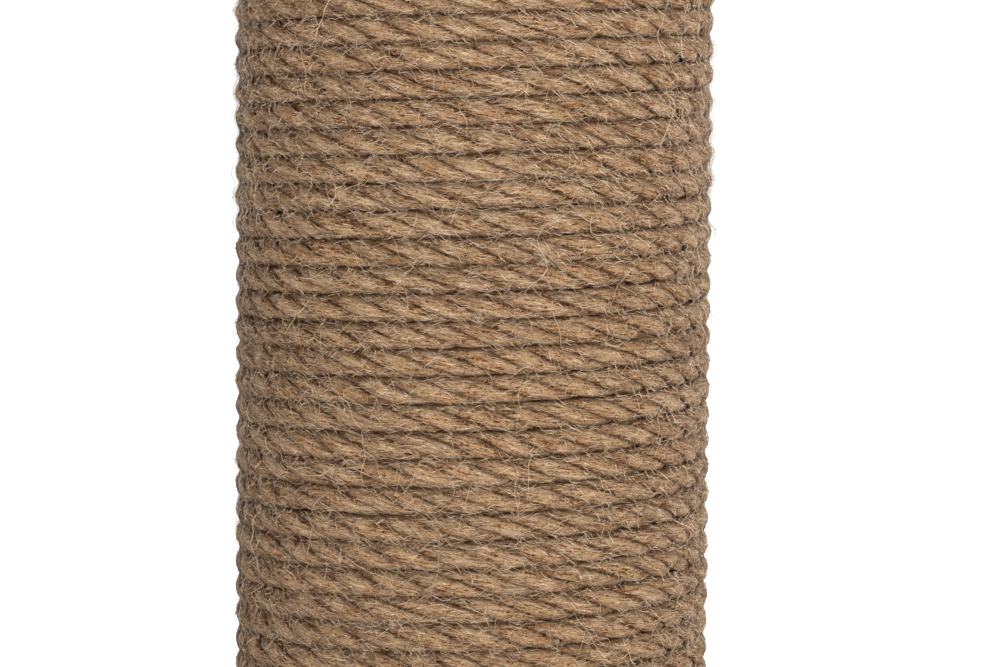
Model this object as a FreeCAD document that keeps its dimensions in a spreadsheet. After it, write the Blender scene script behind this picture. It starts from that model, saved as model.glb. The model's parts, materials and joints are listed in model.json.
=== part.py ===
import FreeCAD, Part
import math
import os

import Sketcher

# Cat scratching post: a square covered base, a cardboard column wound with one
# layer of jute rope, and a padded cap. Millimetres, +Z up. The origin is on the
# floor, in the middle of the four feet. The front of the post is -Y.

os.makedirs("parts", exist_ok=True)
doc = FreeCAD.newDocument("ScratchingPost")
sheet = doc.addObject("Spreadsheet::Sheet", "Sizes")

# Every size that can be set by itself: name, value in mm (or a count), meaning.
SIZES = (
    ("base_side", 300, "square base board, edge to edge"),
    ("board_thickness", 15, "base board"),
    ("board_corner_radius", 30, "rounded corners of the base board, in plan"),
    ("cover_thickness", 3, "short-pile cover over board and cap, with its backing"),
    ("cover_clearance", 0.3, "between a cover's inside and the sides it goes round"),
    ("hem_width", 22, "cover turned under the base board"),
    ("hem_corner_radius", 10, "corners of the opening inside the turned hem"),
    ("hem_thickness", 1.5, "backing of the cover, flattened where it is stapled"),
    ("foot_diameter", 24, "rubber foot where it meets the board"),
    ("foot_height", 6, "rubber foot"),
    ("foot_taper", 1.5, "foot's radius lost from board to floor"),
    ("foot_web", 3, "rubber between foot screw's head and board"),
    ("foot_inset", 45, "foot's middle from each edge of the board"),
    ("foot_screw_diameter", 3.5, "shank of the foot screw"),
    ("foot_screw_head", 7, "head of the foot screw"),
    ("foot_screw_head_height", 2, "head of the foot screw"),
    ("foot_screw_reach", 10, "foot screw inside the board"),
    ("screw_clearance", 0.1, "round a screw, brad or staple leg, on each side"),
    ("screw_tip", 3, "length of the pointed tip of screws and brads"),
    ("core_diameter", 83, "cardboard tube, outside"),
    ("core_wall", 4, "cardboard tube"),
    ("rope_diameter", 4.5, "rope as laid on the tube"),
    ("turn_gap", 0.62, "between two turns of rope"),
    ("turns_each", 24, "turns in each of the three windings"),
    ("seat_gap", 0.3, "between tube and rope"),
    ("turn_tilt", 0.7, "how much each turn rises at +X and sinks at -X"),
    ("rope_end_gap", 0.5, "rope clear of the base cover and the cap's hem"),
    ("plug_thickness", 20, "wooden plug in each end of the tube"),
    ("plug_clearance", 0.1, "between plug and tube, on the radius"),
    ("brad_diameter", 1.6, "headless brad through the tube into a plug"),
    ("brad_length", 18, "headless brad"),
    ("brad_count", 6, "brads in each plug"),
    ("bolt_diameter", 8, "M8 bolt, shank"),
    ("bolt_head_diameter", 14, "round head of the bolt"),
    ("bolt_head_height", 5, "round head of the bolt"),
    ("bolt_socket_flats", 5, "hexagon socket, across flats"),
    ("bolt_socket_depth", 3, "hexagon socket"),
    ("bolt_chamfer", 1, "bolt's tip"),
    ("bolt_overrun", 6.5, "bolt past the far side of its nut"),
    ("bolt_hole_clearance", 0.5, "hole round the bolt, on the radius"),
    ("bolt_recess", 1, "bolt's head below the board's face"),
    ("washer_diameter", 24, "washer under the bolt's head"),
    ("washer_thickness", 2, "washer under the bolt's head"),
    ("counterbore_clearance", 2, "room round the washer, on the radius"),
    ("nut_thread_clearance", 0.1, "between bolt and nut, on the radius"),
    ("nut_barrel_diameter", 10, "barrel of the pronged nut"),
    ("nut_barrel_length", 11, "barrel of the pronged nut"),
    ("nut_flange_diameter", 22, "flange of the pronged nut"),
    ("nut_flange_thickness", 1.5, "flange of the pronged nut"),
    ("nut_prong_inset", 1, "prong from the flange's rim"),
    ("nut_prong_width", 3, "prong, along the rim"),
    ("nut_prong_thickness", 1.2, "prong, across the rim"),
    ("nut_prong_length", 6, "prong inside the plug"),
    ("nut_prong_count", 4, "prongs of each nut"),
    ("staple_wire", 0.9, "wire of the staples"),
    ("staple_crown", 8, "cover staple, over its crown"),
    ("staple_reach", 6, "cover staple inside the board"),
    ("staple_spacing", 60, "between cover staples along an edge of the base"),
    ("cap_staple_count", 8, "staples round the cap's hem"),
    ("rope_staple_crown", 6, "rope staple, over its crown"),
    ("rope_staple_inset", 0.8, "rope staple from the rope's cut end"),
    ("rope_staple_reach", 3, "rope staple inside the tube's wall"),
    ("cap_overhang", 7, "cap board past the rope"),
    ("cap_board_thickness", 18, "cap board"),
    ("foam_side", 5, "foam pad's height at its rim"),
    ("foam_crown", 13, "foam pad's height in the middle"),
)

for row, (alias, value, meaning) in enumerate(SIZES, start=1):
    sheet.set(f"A{row}", alias)
    sheet.set(f"B{row}", str(value))
    sheet.setAlias(f"B{row}", alias)
    sheet.set(f"C{row}", meaning)
doc.recompute()

# Worked-out sizes and levels, as expressions on the sheet.
S = "Sizes."
ZERO = "0"
CORE_RADIUS = f"({S}core_diameter / 2)"
CORE_BORE_RADIUS = f"({CORE_RADIUS} - {S}core_wall)"
ROPE_INNER_RADIUS = f"({CORE_RADIUS} + {S}seat_gap)"
ROPE_OUTER_RADIUS = f"({ROPE_INNER_RADIUS} + {S}rope_diameter)"
ROPE_PATH_RADIUS = f"({ROPE_INNER_RADIUS} + {S}rope_diameter / 2)"
ROPE_PITCH = f"({S}rope_diameter + {S}turn_gap)"
WINDING_RISE = f"({S}turns_each * {ROPE_PITCH})"
WINDINGS = ("rope_winding_lower", "rope_winding_middle", "rope_winding_upper")
ROPE_END_ROOM = f"({S}rope_end_gap + {S}turn_tilt + {S}rope_diameter / 2)"

BOARD_LEVEL = f"{S}foot_height"
BOARD_TOP = f"({BOARD_LEVEL} + {S}board_thickness)"
DECK_LEVEL = f"({BOARD_TOP} + {S}cover_thickness)"
ROPE_START = f"({DECK_LEVEL} + {ROPE_END_ROOM})"
ROPE_END = f"({ROPE_START} + {len(WINDINGS)} * {WINDING_RISE})"
CAP_LEVEL = f"({ROPE_END} + {ROPE_END_ROOM} + {S}hem_thickness)"
CORE_LENGTH = f"({CAP_LEVEL} - {DECK_LEVEL})"
FOAM_LEVEL = f"({CAP_LEVEL} + {S}cap_board_thickness)"

FOOT_OFFSET = f"({S}base_side / 2 - {S}foot_inset)"
CAP_RADIUS = f"({ROPE_OUTER_RADIUS} + {S}cap_overhang)"
BOLT_RADIUS = f"({S}bolt_diameter / 2)"
COUNTERBORE_DEPTH = f"({S}washer_thickness + {S}bolt_head_height + {S}bolt_recess)"
COUNTERBORE_DIAMETER = f"({S}washer_diameter + 2 * {S}counterbore_clearance)"
BOLT_HOLE_DIAMETER = f"({S}bolt_diameter + 2 * {S}bolt_hole_clearance)"

# Names for the sketcher's own point and line numbers.
START_POINT, END_POINT, CENTRE_POINT = range(1, 4)
ACROSS_AXIS, UP_AXIS = range(-1, -3, -1)

nodes = []


def number(expression):
    """Value of an expression on the sheet, in mm."""
    return float(sheet.evalExpression(expression))


def origin_feature(body, role):
    """The body's own origin plane or axis of that role."""
    for feature in body.Origin.OriginFeatures:
        if feature.Role == role:
            return feature
    raise ValueError(f"{body.Label} has no {role}")


def new_body(label, level, flipped=False):
    """An empty body at a level; flipped turns it upside down about X."""
    body = doc.addObject("PartDesign::Body", label)
    body.Label = label
    body.AllowCompound = True
    if flipped:
        half_turn = FreeCAD.Rotation(FreeCAD.Vector(1, 0, 0), 180)
        body.Placement = FreeCAD.Placement(FreeCAD.Vector(), half_turn)
    body.setExpression("Placement.Base.z", level)
    nodes.append(body)
    return body


def new_sketch(body, name, plane="XY_Plane", offset=None):
    """An empty sketch on one of the body's origin planes, moved along its normal."""
    sketch = body.newObject("Sketcher::SketchObject", f"{body.Label}_{name}")
    sketch.AttachmentSupport = [(origin_feature(body, plane), "")]
    sketch.MapMode = "FlatFace"
    if offset:
        sketch.setExpression("AttachmentOffset.Base.z", offset)
    return sketch


def bind(sketch, kind, places, expression):
    """Add a dimension and tie it to an expression."""
    index = sketch.addConstraint(Sketcher.Constraint(kind, *places, number(expression)))
    sketch.setExpression(f"Constraints[{index}]", expression)


def pin_point(sketch, shape, end, across, up):
    """Hold one point of a shape at a place given by two expressions."""
    for kind, expression, axis in (("DistanceX", across, UP_AXIS), ("DistanceY", up, ACROSS_AXIS)):
        if expression == ZERO:
            sketch.addConstraint(Sketcher.Constraint("PointOnObject", shape, end, axis))
        else:
            bind(sketch, kind, (ACROSS_AXIS, START_POINT, shape, end), expression)


def add_polygon(sketch, corners):
    """A closed outline through corners, each a pair of expressions."""
    first = sketch.GeometryCount
    points = [FreeCAD.Vector(number(across), number(up), 0) for across, up in corners]
    for start, end in zip(points, points[1:] + points[:1]):
        sketch.addGeometry(Part.LineSegment(start, end), False)
    for index, (across, up) in enumerate(corners):
        before = first + (index - 1) % len(corners)
        joint = ("Coincident", before, END_POINT, first + index, START_POINT)
        sketch.addConstraint(Sketcher.Constraint(*joint))
        pin_point(sketch, first + index, START_POINT, across, up)


def add_rectangle(sketch, middle, size):
    """A rectangle round a middle point, each a pair of expressions."""
    left, right = (f"({middle[0]} {sign} {size[0]} / 2)" for sign in "-+")
    low, high = (f"({middle[1]} {sign} {size[1]} / 2)" for sign in "-+")
    add_polygon(sketch, ((left, low), (right, low), (right, high), (left, high)))


def add_circle(sketch, diameter, across=ZERO, up=ZERO):
    """A circle of a diameter round a point."""
    middle = FreeCAD.Vector(number(across), number(up), 0)
    circle = Part.Circle(middle, FreeCAD.Vector(0, 0, 1), number(diameter) / 2)
    index = sketch.addGeometry(circle, False)
    pin_point(sketch, index, CENTRE_POINT, across, up)
    bind(sketch, "Diameter", (index,), diameter)


def add_rounded_square(sketch, side, radius):
    """A square round the origin with rounded corners."""
    half = number(side) / 2
    bend = number(radius)
    sides, bends = [], []
    for quarter in range(4):
        turn = FreeCAD.Rotation(FreeCAD.Vector(0, 0, 1), 90 * quarter)
        start = turn.multVec(FreeCAD.Vector(bend - half, -half, 0))
        end = turn.multVec(FreeCAD.Vector(half - bend, -half, 0))
        sides.append(sketch.addGeometry(Part.LineSegment(start, end), False))
    for quarter in range(4):
        turn = FreeCAD.Rotation(FreeCAD.Vector(0, 0, 1), 90 * quarter)
        middle = turn.multVec(FreeCAD.Vector(half - bend, bend - half, 0))
        circle = Part.Circle(middle, FreeCAD.Vector(0, 0, 1), bend)
        begin = math.radians(90 * quarter - 90)
        bends.append(sketch.addGeometry(Part.ArcOfCircle(circle, begin, begin + math.pi / 2), False))
    south, east, north, west = sides
    for line, corner, next_line in zip(sides, bends, sides[1:] + sides[:1]):
        sketch.addConstraint(Sketcher.Constraint("Tangent", line, END_POINT, corner, START_POINT))
        sketch.addConstraint(Sketcher.Constraint("Tangent", corner, END_POINT, next_line, START_POINT))
    for direction, pair in (("Horizontal", (south, north)), ("Vertical", (east, west))):
        for line in pair:
            sketch.addConstraint(Sketcher.Constraint(direction, line))
    for corner, next_corner in zip(bends, bends[1:]):
        sketch.addConstraint(Sketcher.Constraint("Equal", corner, next_corner))
    bind(sketch, "Radius", (bends[0],), radius)
    opposite = (south, START_POINT, north, START_POINT)
    sketch.addConstraint(Sketcher.Constraint("Symmetric", *opposite, ACROSS_AXIS, START_POINT))
    bind(sketch, "DistanceY", opposite, side)
    bind(sketch, "DistanceX", (west, START_POINT, east, START_POINT), side)


def add_hexagon(sketch, flats):
    """A hexagon round the origin, given across its flats."""
    half = f"({flats} / 2)"
    tip = f"({flats} / sqrt(3))"
    half_tip = f"({flats} / sqrt(12))"
    right = ((half, half_tip), (ZERO, tip), (f"(-{half})", half_tip))
    left = ((f"(-{half})", f"(-{half_tip})"), (ZERO, f"(-{tip})"), (half, f"(-{half_tip})"))
    add_polygon(sketch, right + left)


def add_crown(sketch, radius, bottom, side_top, crown_top):
    """Half section of a crowned disc: flat base, short side, arc up to the axis."""
    reach, low, rim, top = (number(each) for each in (radius, bottom, side_top, crown_top))
    rise = top - rim
    arc_radius = (reach * reach + rise * rise) / (2 * rise)
    middle = FreeCAD.Vector(0, top - arc_radius, 0)
    circle = Part.Circle(middle, FreeCAD.Vector(0, 0, 1), arc_radius)
    rim_angle = math.atan2(rim - middle.y, reach)
    foot, corner, shoulder, peak = (
        FreeCAD.Vector(*place) for place in ((0, low, 0), (reach, low, 0), (reach, rim, 0), (0, top, 0))
    )
    base = sketch.addGeometry(Part.LineSegment(foot, corner), False)
    side = sketch.addGeometry(Part.LineSegment(corner, shoulder), False)
    crown = sketch.addGeometry(Part.ArcOfCircle(circle, rim_angle, math.pi / 2), False)
    axis = sketch.addGeometry(Part.LineSegment(peak, foot), False)
    for before, after in ((base, side), (side, crown), (crown, axis), (axis, base)):
        sketch.addConstraint(Sketcher.Constraint("Coincident", before, END_POINT, after, START_POINT))
    pin_point(sketch, base, START_POINT, ZERO, bottom)
    pin_point(sketch, side, START_POINT, radius, bottom)
    pin_point(sketch, crown, START_POINT, radius, side_top)
    pin_point(sketch, axis, START_POINT, ZERO, crown_top)
    sketch.addConstraint(Sketcher.Constraint("PointOnObject", crown, CENTRE_POINT, UP_AXIS))


def check_cut(body, feature, before):
    """Stop if a cut removed nothing."""
    doc.recompute()
    if not body.Shape.Volume < before - 1e-6:
        raise ValueError(f"{feature.Label} cuts nothing")


def pad(body, sketch, length, down=False, middle=False):
    """Raise a sketch into a solid, along its plane's normal."""
    feature = body.newObject("PartDesign::Pad", f"{sketch.Name}_pad")
    feature.Profile = sketch
    feature.Reversed = down
    feature.Midplane = middle
    feature.setExpression("Length", length)
    return feature


def pocket(body, sketch, length=None, up=False):
    """Cut a sketch out, against its plane's normal, or along it with up."""
    doc.recompute()
    before = body.Shape.Volume
    feature = body.newObject("PartDesign::Pocket", f"{sketch.Name}_pocket")
    feature.Profile = sketch
    feature.Reversed = up
    if length is None:
        feature.Type = "ThroughAll"
    else:
        feature.setExpression("Length", length)
    check_cut(body, feature, before)
    return feature


def revolve(body, sketch, axis="V_Axis"):
    """Turn a sketch once round one of its own axes."""
    feature = body.newObject("PartDesign::Revolution", f"{sketch.Name}_revolution")
    feature.Profile = sketch
    feature.ReferenceAxis = (sketch, [axis])
    feature.Angle = 360
    return feature


def groove(body, sketch):
    """Turn a sketch once round the body's axis and cut it out."""
    doc.recompute()
    before = body.Shape.Volume
    feature = body.newObject("PartDesign::Groove", f"{sketch.Name}_groove")
    feature.Profile = sketch
    feature.ReferenceAxis = (sketch, ["V_Axis"])
    feature.Angle = 360
    check_cut(body, feature, before)
    return feature


def repeat_round(body, feature, count):
    """Repeat a feature evenly round the body's Z axis."""
    doc.recompute()
    pattern = body.newObject("PartDesign::PolarPattern", f"{feature.Name}_round")
    pattern.Originals = [feature]
    pattern.Axis = (origin_feature(body, "Z_Axis"), [""])
    pattern.Angle = 360
    pattern.setExpression("Occurrences", count)
    body.Tip = pattern
    doc.recompute()
    return pattern


def fillet_level(body, feature, level, radius):
    """Round the edges that lie flat at one level of a feature."""
    doc.recompute()
    height = number(level)
    names = []
    for index, edge in enumerate(feature.Shape.Edges, start=1):
        if all(abs(point.Z - height) < 1e-6 for point in edge.Vertexes):
            names.append(f"Edge{index}")
    rounding = body.newObject("PartDesign::Fillet", f"{feature.Name}_fillet")
    rounding.Base = (feature, names)
    rounding.setExpression("Radius", radius)
    return rounding


# ---------------------------------------------------------------- fasteners

def add_cover_staple_legs(sketch, middles, grow):
    """Two leg outlines for each staple, whose crown runs across the sketch."""
    side = f"({S}staple_wire + 2 * {grow})"
    reach = f"({S}staple_crown / 2 - {S}staple_wire / 2)"
    for across, up in middles:
        for sign in "-+":
            add_rectangle(sketch, (f"({across} {sign} {reach})", up), (side, side))


def base_staple_middles():
    """Middles of the staples along the front edge of the base."""
    up = f"(-({S}base_side / 2 - {S}hem_width / 2))"
    return [(f"({step} * {S}staple_spacing)", up) for step in (-1.5, -0.5, 0.5, 1.5)]


def cap_staple_middles():
    """Middle of the first staple of the ring under the cap."""
    return [(ZERO, f"(-({ROPE_OUTER_RADIUS} + {S}cap_overhang / 2))")]


def make_cover_staples(label, level, middles, count):
    """Staples that hold a turned hem: crowns below it, legs up into the board."""
    body = new_body(label, level)
    crowns = new_sketch(body, "crowns")
    for middle in middles:
        add_rectangle(crowns, middle, (f"{S}staple_crown", f"{S}staple_wire"))
    crown_pad = pad(body, crowns, f"{S}staple_wire", down=True)
    repeat_round(body, crown_pad, count)
    legs = new_sketch(body, "legs")
    add_cover_staple_legs(legs, middles, ZERO)
    leg_pad = pad(body, legs, f"({S}hem_thickness + {S}staple_reach)")
    repeat_round(body, leg_pad, count)


def make_rope_staple(label, level, side):
    """Staple through the rope's cut end; side is - or + along X from that end."""
    body = new_body(label, level)
    near_outer = f"({side}{S}rope_staple_inset)"
    near_inner = f"({side}({S}rope_staple_inset + {S}staple_wire))"
    far_inner = f"({side}({S}rope_staple_inset + {S}rope_staple_crown - {S}staple_wire))"
    far_outer = f"({side}({S}rope_staple_inset + {S}rope_staple_crown))"
    under = f"({ROPE_OUTER_RADIUS} + {S}screw_clearance)"
    over = f"({under} + {S}staple_wire)"
    tip = f"({CORE_RADIUS} - {S}rope_staple_reach)"
    sketch = new_sketch(body, "outline")
    outer = ((near_outer, over), (far_outer, over), (far_outer, tip), (far_inner, tip))
    inner = ((far_inner, under), (near_inner, under), (near_inner, tip), (near_outer, tip))
    add_polygon(sketch, outer + inner)
    pad(body, sketch, f"{S}staple_wire", middle=True)


def rope_staple_leg_middles(side):
    """Middles along X of a rope staple's two legs."""
    near = f"({side}({S}rope_staple_inset + {S}staple_wire / 2))"
    far = f"({side}({S}rope_staple_inset + {S}rope_staple_crown - {S}staple_wire / 2))"
    return (near, far)


def make_bolt(label, level, flipped=False):
    """Round-headed bolt; its seat is at the level, its shank points up."""
    body = new_body(label, level, flipped)
    shank = BOLT_RADIUS
    head = f"({S}bolt_head_diameter / 2)"
    head_bottom = f"(-{S}bolt_head_height)"
    profile = new_sketch(body, "profile", "XZ_Plane")
    head_corners = ((ZERO, head_bottom), (head, head_bottom), (head, ZERO), (shank, ZERO))
    tip_corners = (
        (shank, f"({BOLT_LENGTH} - {S}bolt_chamfer)"),
        (f"({shank} - {S}bolt_chamfer)", BOLT_LENGTH),
        (ZERO, BOLT_LENGTH),
    )
    add_polygon(profile, head_corners + tip_corners)
    revolve(body, profile)
    socket = new_sketch(body, "socket", offset=head_bottom)
    add_hexagon(socket, f"{S}bolt_socket_flats")
    pocket(body, socket, f"{S}bolt_socket_depth", up=True)


def make_washer(label, level):
    """Flat washer with its lower face at the level."""
    body = new_body(label, level)
    ring = new_sketch(body, "ring")
    add_circle(ring, f"{S}washer_diameter")
    add_circle(ring, BOLT_HOLE_DIAMETER)
    pad(body, ring, f"{S}washer_thickness")


def add_prong(sketch, grow):
    """Outline of the pronged nut's first prong."""
    middle = f"({S}nut_flange_diameter / 2 - {S}nut_prong_inset - {S}nut_prong_thickness / 2)"
    size = (f"({S}nut_prong_thickness + 2 * {grow})", f"({S}nut_prong_width + 2 * {grow})")
    add_rectangle(sketch, (middle, ZERO), size)


def make_pronged_nut(label, level, flipped=False):
    """Pronged nut whose flange lies on the level and whose barrel points down."""
    body = new_body(label, level, flipped)
    bore = f"({BOLT_RADIUS} + {S}nut_thread_clearance)"
    barrel = f"({S}nut_barrel_diameter / 2)"
    flange = f"({S}nut_flange_diameter / 2)"
    bottom = f"(-{S}nut_barrel_length)"
    top = f"{S}nut_flange_thickness"
    profile = new_sketch(body, "profile", "XZ_Plane")
    lower = ((bore, bottom), (barrel, bottom), (barrel, ZERO), (flange, ZERO))
    add_polygon(profile, lower + ((flange, top), (bore, top)))
    revolve(body, profile)
    prong = new_sketch(body, "prong")
    add_prong(prong, ZERO)
    prong_pad = pad(body, prong, f"{S}nut_prong_length", down=True)
    repeat_round(body, prong_pad, f"{S}nut_prong_count")


def make_brads(label, level):
    """Headless brads, flush with the tube, pointing at its axis."""
    body = new_body(label, level)
    radius = f"({S}brad_diameter / 2)"
    tip = f"({CORE_RADIUS} - {S}brad_length)"
    profile = new_sketch(body, "profile", "YZ_Plane")
    head_corners = ((CORE_RADIUS, ZERO), (CORE_RADIUS, radius))
    tip_corners = ((f"({tip} + {S}screw_tip)", radius), (tip, ZERO))
    add_polygon(profile, head_corners + tip_corners)
    brad = revolve(body, profile, "H_Axis")
    repeat_round(body, brad, f"{S}brad_count")


def drill_brad_holes(body, name, up):
    """Radial holes for the brads at one height of a body."""
    sketch = new_sketch(body, name, "XZ_Plane")
    add_circle(sketch, f"({S}brad_diameter + 2 * {S}screw_clearance)", ZERO, up)
    hole = pocket(body, sketch)
    repeat_round(body, hole, f"{S}brad_count")


# --------------------------------------------------------------------- base

def make_base_board():
    """Board with a counterbored bolt hole and pilot holes for screws and staples."""
    body = new_body("base_board", BOARD_LEVEL)
    outline = new_sketch(body, "outline")
    add_rounded_square(outline, f"{S}base_side", f"{S}board_corner_radius")
    pad(body, outline, f"{S}board_thickness")
    hole = new_sketch(body, "bolt_hole")
    add_circle(hole, BOLT_HOLE_DIAMETER)
    pocket(body, hole, up=True)
    counterbore = new_sketch(body, "counterbore")
    add_circle(counterbore, COUNTERBORE_DIAMETER)
    pocket(body, counterbore, COUNTERBORE_DEPTH, up=True)
    pilot = new_sketch(body, "screw_pilot")
    pilot_diameter = f"({S}foot_screw_diameter + 2 * {S}screw_clearance)"
    add_circle(pilot, pilot_diameter, FOOT_OFFSET, FOOT_OFFSET)
    screw_hole = pocket(body, pilot, f"({S}foot_screw_reach + {S}screw_clearance)", up=True)
    repeat_round(body, screw_hole, "4")
    slots = new_sketch(body, "staple_slots")
    add_cover_staple_legs(slots, base_staple_middles(), f"{S}screw_clearance")
    slot_cut = pocket(body, slots, f"({S}staple_reach + {S}screw_clearance)", up=True)
    repeat_round(body, slot_cut, "4")


def make_base_cover():
    """Cover over the top and sides of the board, turned under in a hem."""
    body = new_body("base_cover", f"({BOARD_LEVEL} - {S}hem_thickness)")
    wrap = f"({S}cover_thickness + {S}cover_clearance)"
    height = f"({S}hem_thickness + {S}board_thickness + {S}cover_thickness)"
    outline = new_sketch(body, "outline")
    add_rounded_square(outline, f"({S}base_side + 2 * {wrap})", f"({S}board_corner_radius + {wrap})")
    slab = pad(body, outline, height)
    fillet_level(body, slab, height, f"{S}cover_thickness")
    cavity = new_sketch(body, "cavity", offset=f"{S}hem_thickness")
    cavity_side = f"({S}base_side + 2 * {S}cover_clearance)"
    add_rounded_square(cavity, cavity_side, f"({S}board_corner_radius + {S}cover_clearance)")
    pocket(body, cavity, f"{S}board_thickness", up=True)
    opening = new_sketch(body, "hem_opening")
    add_rounded_square(opening, f"({S}base_side - 2 * {S}hem_width)", f"{S}hem_corner_radius")
    pocket(body, opening, f"{S}hem_thickness", up=True)
    hole = new_sketch(body, "bolt_hole")
    add_circle(hole, BOLT_HOLE_DIAMETER)
    pocket(body, hole, up=True)
    slots = new_sketch(body, "staple_slots")
    add_cover_staple_legs(slots, base_staple_middles(), f"{S}screw_clearance")
    slot_cut = pocket(body, slots, f"{S}hem_thickness", up=True)
    repeat_round(body, slot_cut, "4")


def make_foot(label, across, up):
    """Tapered rubber foot with a counterbore for its screw."""
    body = new_body(label, ZERO)
    body.setExpression("Placement.Base.x", f"{across}{FOOT_OFFSET}")
    body.setExpression("Placement.Base.y", f"{up}{FOOT_OFFSET}")
    top_radius = f"({S}foot_diameter / 2)"
    bottom_radius = f"({top_radius} - {S}foot_taper)"
    head_radius = f"({S}foot_screw_head / 2 + {S}screw_clearance)"
    hole_radius = f"({S}foot_screw_diameter / 2 + {S}screw_clearance)"
    seat = f"({S}foot_height - {S}foot_web)"
    profile = new_sketch(body, "profile", "XZ_Plane")
    outside = ((head_radius, ZERO), (bottom_radius, ZERO), (top_radius, f"{S}foot_height"))
    inside = ((hole_radius, f"{S}foot_height"), (hole_radius, seat), (head_radius, seat))
    add_polygon(profile, outside + inside)
    revolve(body, profile)


def make_foot_screws():
    """Four pan-head screws through the feet into the board."""
    body = new_body("foot_screws", f"({S}foot_height - {S}foot_web)")
    shank = f"({FOOT_OFFSET} + {S}foot_screw_diameter / 2)"
    head = f"({FOOT_OFFSET} + {S}foot_screw_head / 2)"
    tip = f"({S}foot_web + {S}foot_screw_reach)"
    profile = new_sketch(body, "profile", "XZ_Plane", offset=f"(-{FOOT_OFFSET})")
    head_bottom = f"(-{S}foot_screw_head_height)"
    head_corners = ((FOOT_OFFSET, head_bottom), (head, head_bottom), (head, ZERO), (shank, ZERO))
    add_polygon(profile, head_corners + ((shank, f"({tip} - {S}screw_tip)"), (FOOT_OFFSET, tip)))
    screw = revolve(body, profile)
    axis = profile.addGeometry(
        Part.LineSegment(
            FreeCAD.Vector(number(FOOT_OFFSET), 0, 0),
            FreeCAD.Vector(number(FOOT_OFFSET), number(tip), 0),
        ),
        True,
    )
    pin_point(profile, axis, START_POINT, FOOT_OFFSET, ZERO)
    pin_point(profile, axis, END_POINT, FOOT_OFFSET, tip)
    screw.ReferenceAxis = (profile, ["Axis0"])
    repeat_round(body, screw, "4")


# ------------------------------------------------------------------- column

def make_plug(label, level, flipped=False):
    """Wooden plug with its outer face at the level and its inner face above."""
    body = new_body(label, level, flipped)
    disc = new_sketch(body, "disc")
    add_circle(disc, f"(2 * ({CORE_BORE_RADIUS} - {S}plug_clearance))")
    pad(body, disc, f"{S}plug_thickness")
    hole = new_sketch(body, "nut_hole")
    add_circle(hole, f"({S}nut_barrel_diameter + 2 * {S}screw_clearance)")
    pocket(body, hole, up=True)
    slots = new_sketch(body, "prong_slots", offset=f"{S}plug_thickness")
    add_prong(slots, f"{S}screw_clearance")
    slot_cut = pocket(body, slots, f"({S}nut_prong_length + {S}screw_clearance)")
    repeat_round(body, slot_cut, f"{S}nut_prong_count")
    drill_brad_holes(body, "brad_hole", f"({S}plug_thickness / 2)")


def make_core():
    """Cardboard tube with holes for the brads and the two rope staples."""
    body = new_body("post_core", DECK_LEVEL)
    ring = new_sketch(body, "ring")
    add_circle(ring, f"{S}core_diameter")
    add_circle(ring, f"(2 * {CORE_BORE_RADIUS})")
    pad(body, ring, CORE_LENGTH)
    drill_brad_holes(body, "lower_brad_hole", f"({S}plug_thickness / 2)")
    drill_brad_holes(body, "upper_brad_hole", f"({CORE_LENGTH} - {S}plug_thickness / 2)")
    slots = new_sketch(body, "rope_staple_slots", "XZ_Plane")
    slot_side = f"({S}staple_wire + 2 * {S}screw_clearance)"
    for side, level in (("-", ROPE_START), ("+", ROPE_END)):
        for across in rope_staple_leg_middles(side):
            add_rectangle(slots, (across, f"({level} - {DECK_LEVEL})"), (slot_side, slot_side))
    pocket(body, slots)


def rope_point(turn):
    """Middle of the rope after that many turns from the back of the post."""
    angle = 2 * math.pi * turn + math.pi / 2
    radius = number(ROPE_PATH_RADIUS)
    height = number(ROPE_PITCH) * turn + number(f"{S}turn_tilt") * math.cos(angle)
    return FreeCAD.Vector(radius * math.cos(angle), radius * math.sin(angle), height)


def rope_direction(turn):
    """The way that the rope runs after that many turns."""
    angle = 2 * math.pi * turn + math.pi / 2
    radius = number(ROPE_PATH_RADIUS)
    rise = number(ROPE_PITCH) / (2 * math.pi) - number(f"{S}turn_tilt") * math.sin(angle)
    direction = FreeCAD.Vector(-radius * math.sin(angle), radius * math.cos(angle), rise)
    return direction.normalize()


def biarc(start, leaving, end, arriving):
    """Two arcs from start to end that keep both directions and meet smoothly."""
    chord = end - start
    square = 2 * (leaving.dot(arriving) - 1)
    linear = -2 * chord.dot(leaving + arriving)
    root = math.sqrt(linear * linear - 4 * square * chord.dot(chord))
    reach = (-linear - root) / (2 * square)
    if reach < 0:
        reach = (-linear + root) / (2 * square)
    leaving_corner = start + leaving * reach
    arriving_corner = end - arriving * reach
    joint = (leaving_corner + arriving_corner) * 0.5
    edges = []
    for first, corner, last in ((start, leaving_corner, joint), (joint, arriving_corner, end)):
        span = last - first
        outward = (corner - (first + last) * 0.5).normalize()
        turn = 2 * (corner - first).getAngle(span)
        middle = (first + last) * 0.5 + outward * (span.Length / 2 * math.tan(turn / 4))
        edges.append(Part.Arc(first, middle, last).toShape())
    return edges


def rope_path():
    """One winding's middle line: biarcs of half a turn, with a straight run at each end."""
    turns = int(number(f"{S}turns_each"))
    run = number(f"{S}rope_diameter")
    first = rope_point(0)
    last = rope_point(turns)
    run_end = first + rope_direction(0) * run
    run_start = last - rope_direction(turns) * run
    stops = [(run_end, rope_direction(0))]
    for turn in [0.25] + [half / 2 for half in range(1, 2 * turns)] + [turns - 0.25]:
        stops.append((rope_point(turn), rope_direction(turn)))
    stops.append((run_start, rope_direction(turns)))
    edges = [Part.LineSegment(first, run_end).toShape()]
    for (start, leaving), (end, arriving) in zip(stops, stops[1:]):
        edges.extend(biarc(start, leaving, end, arriving))
    edges.append(Part.LineSegment(run_start, last).toShape())
    return Part.Wire(edges)


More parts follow.
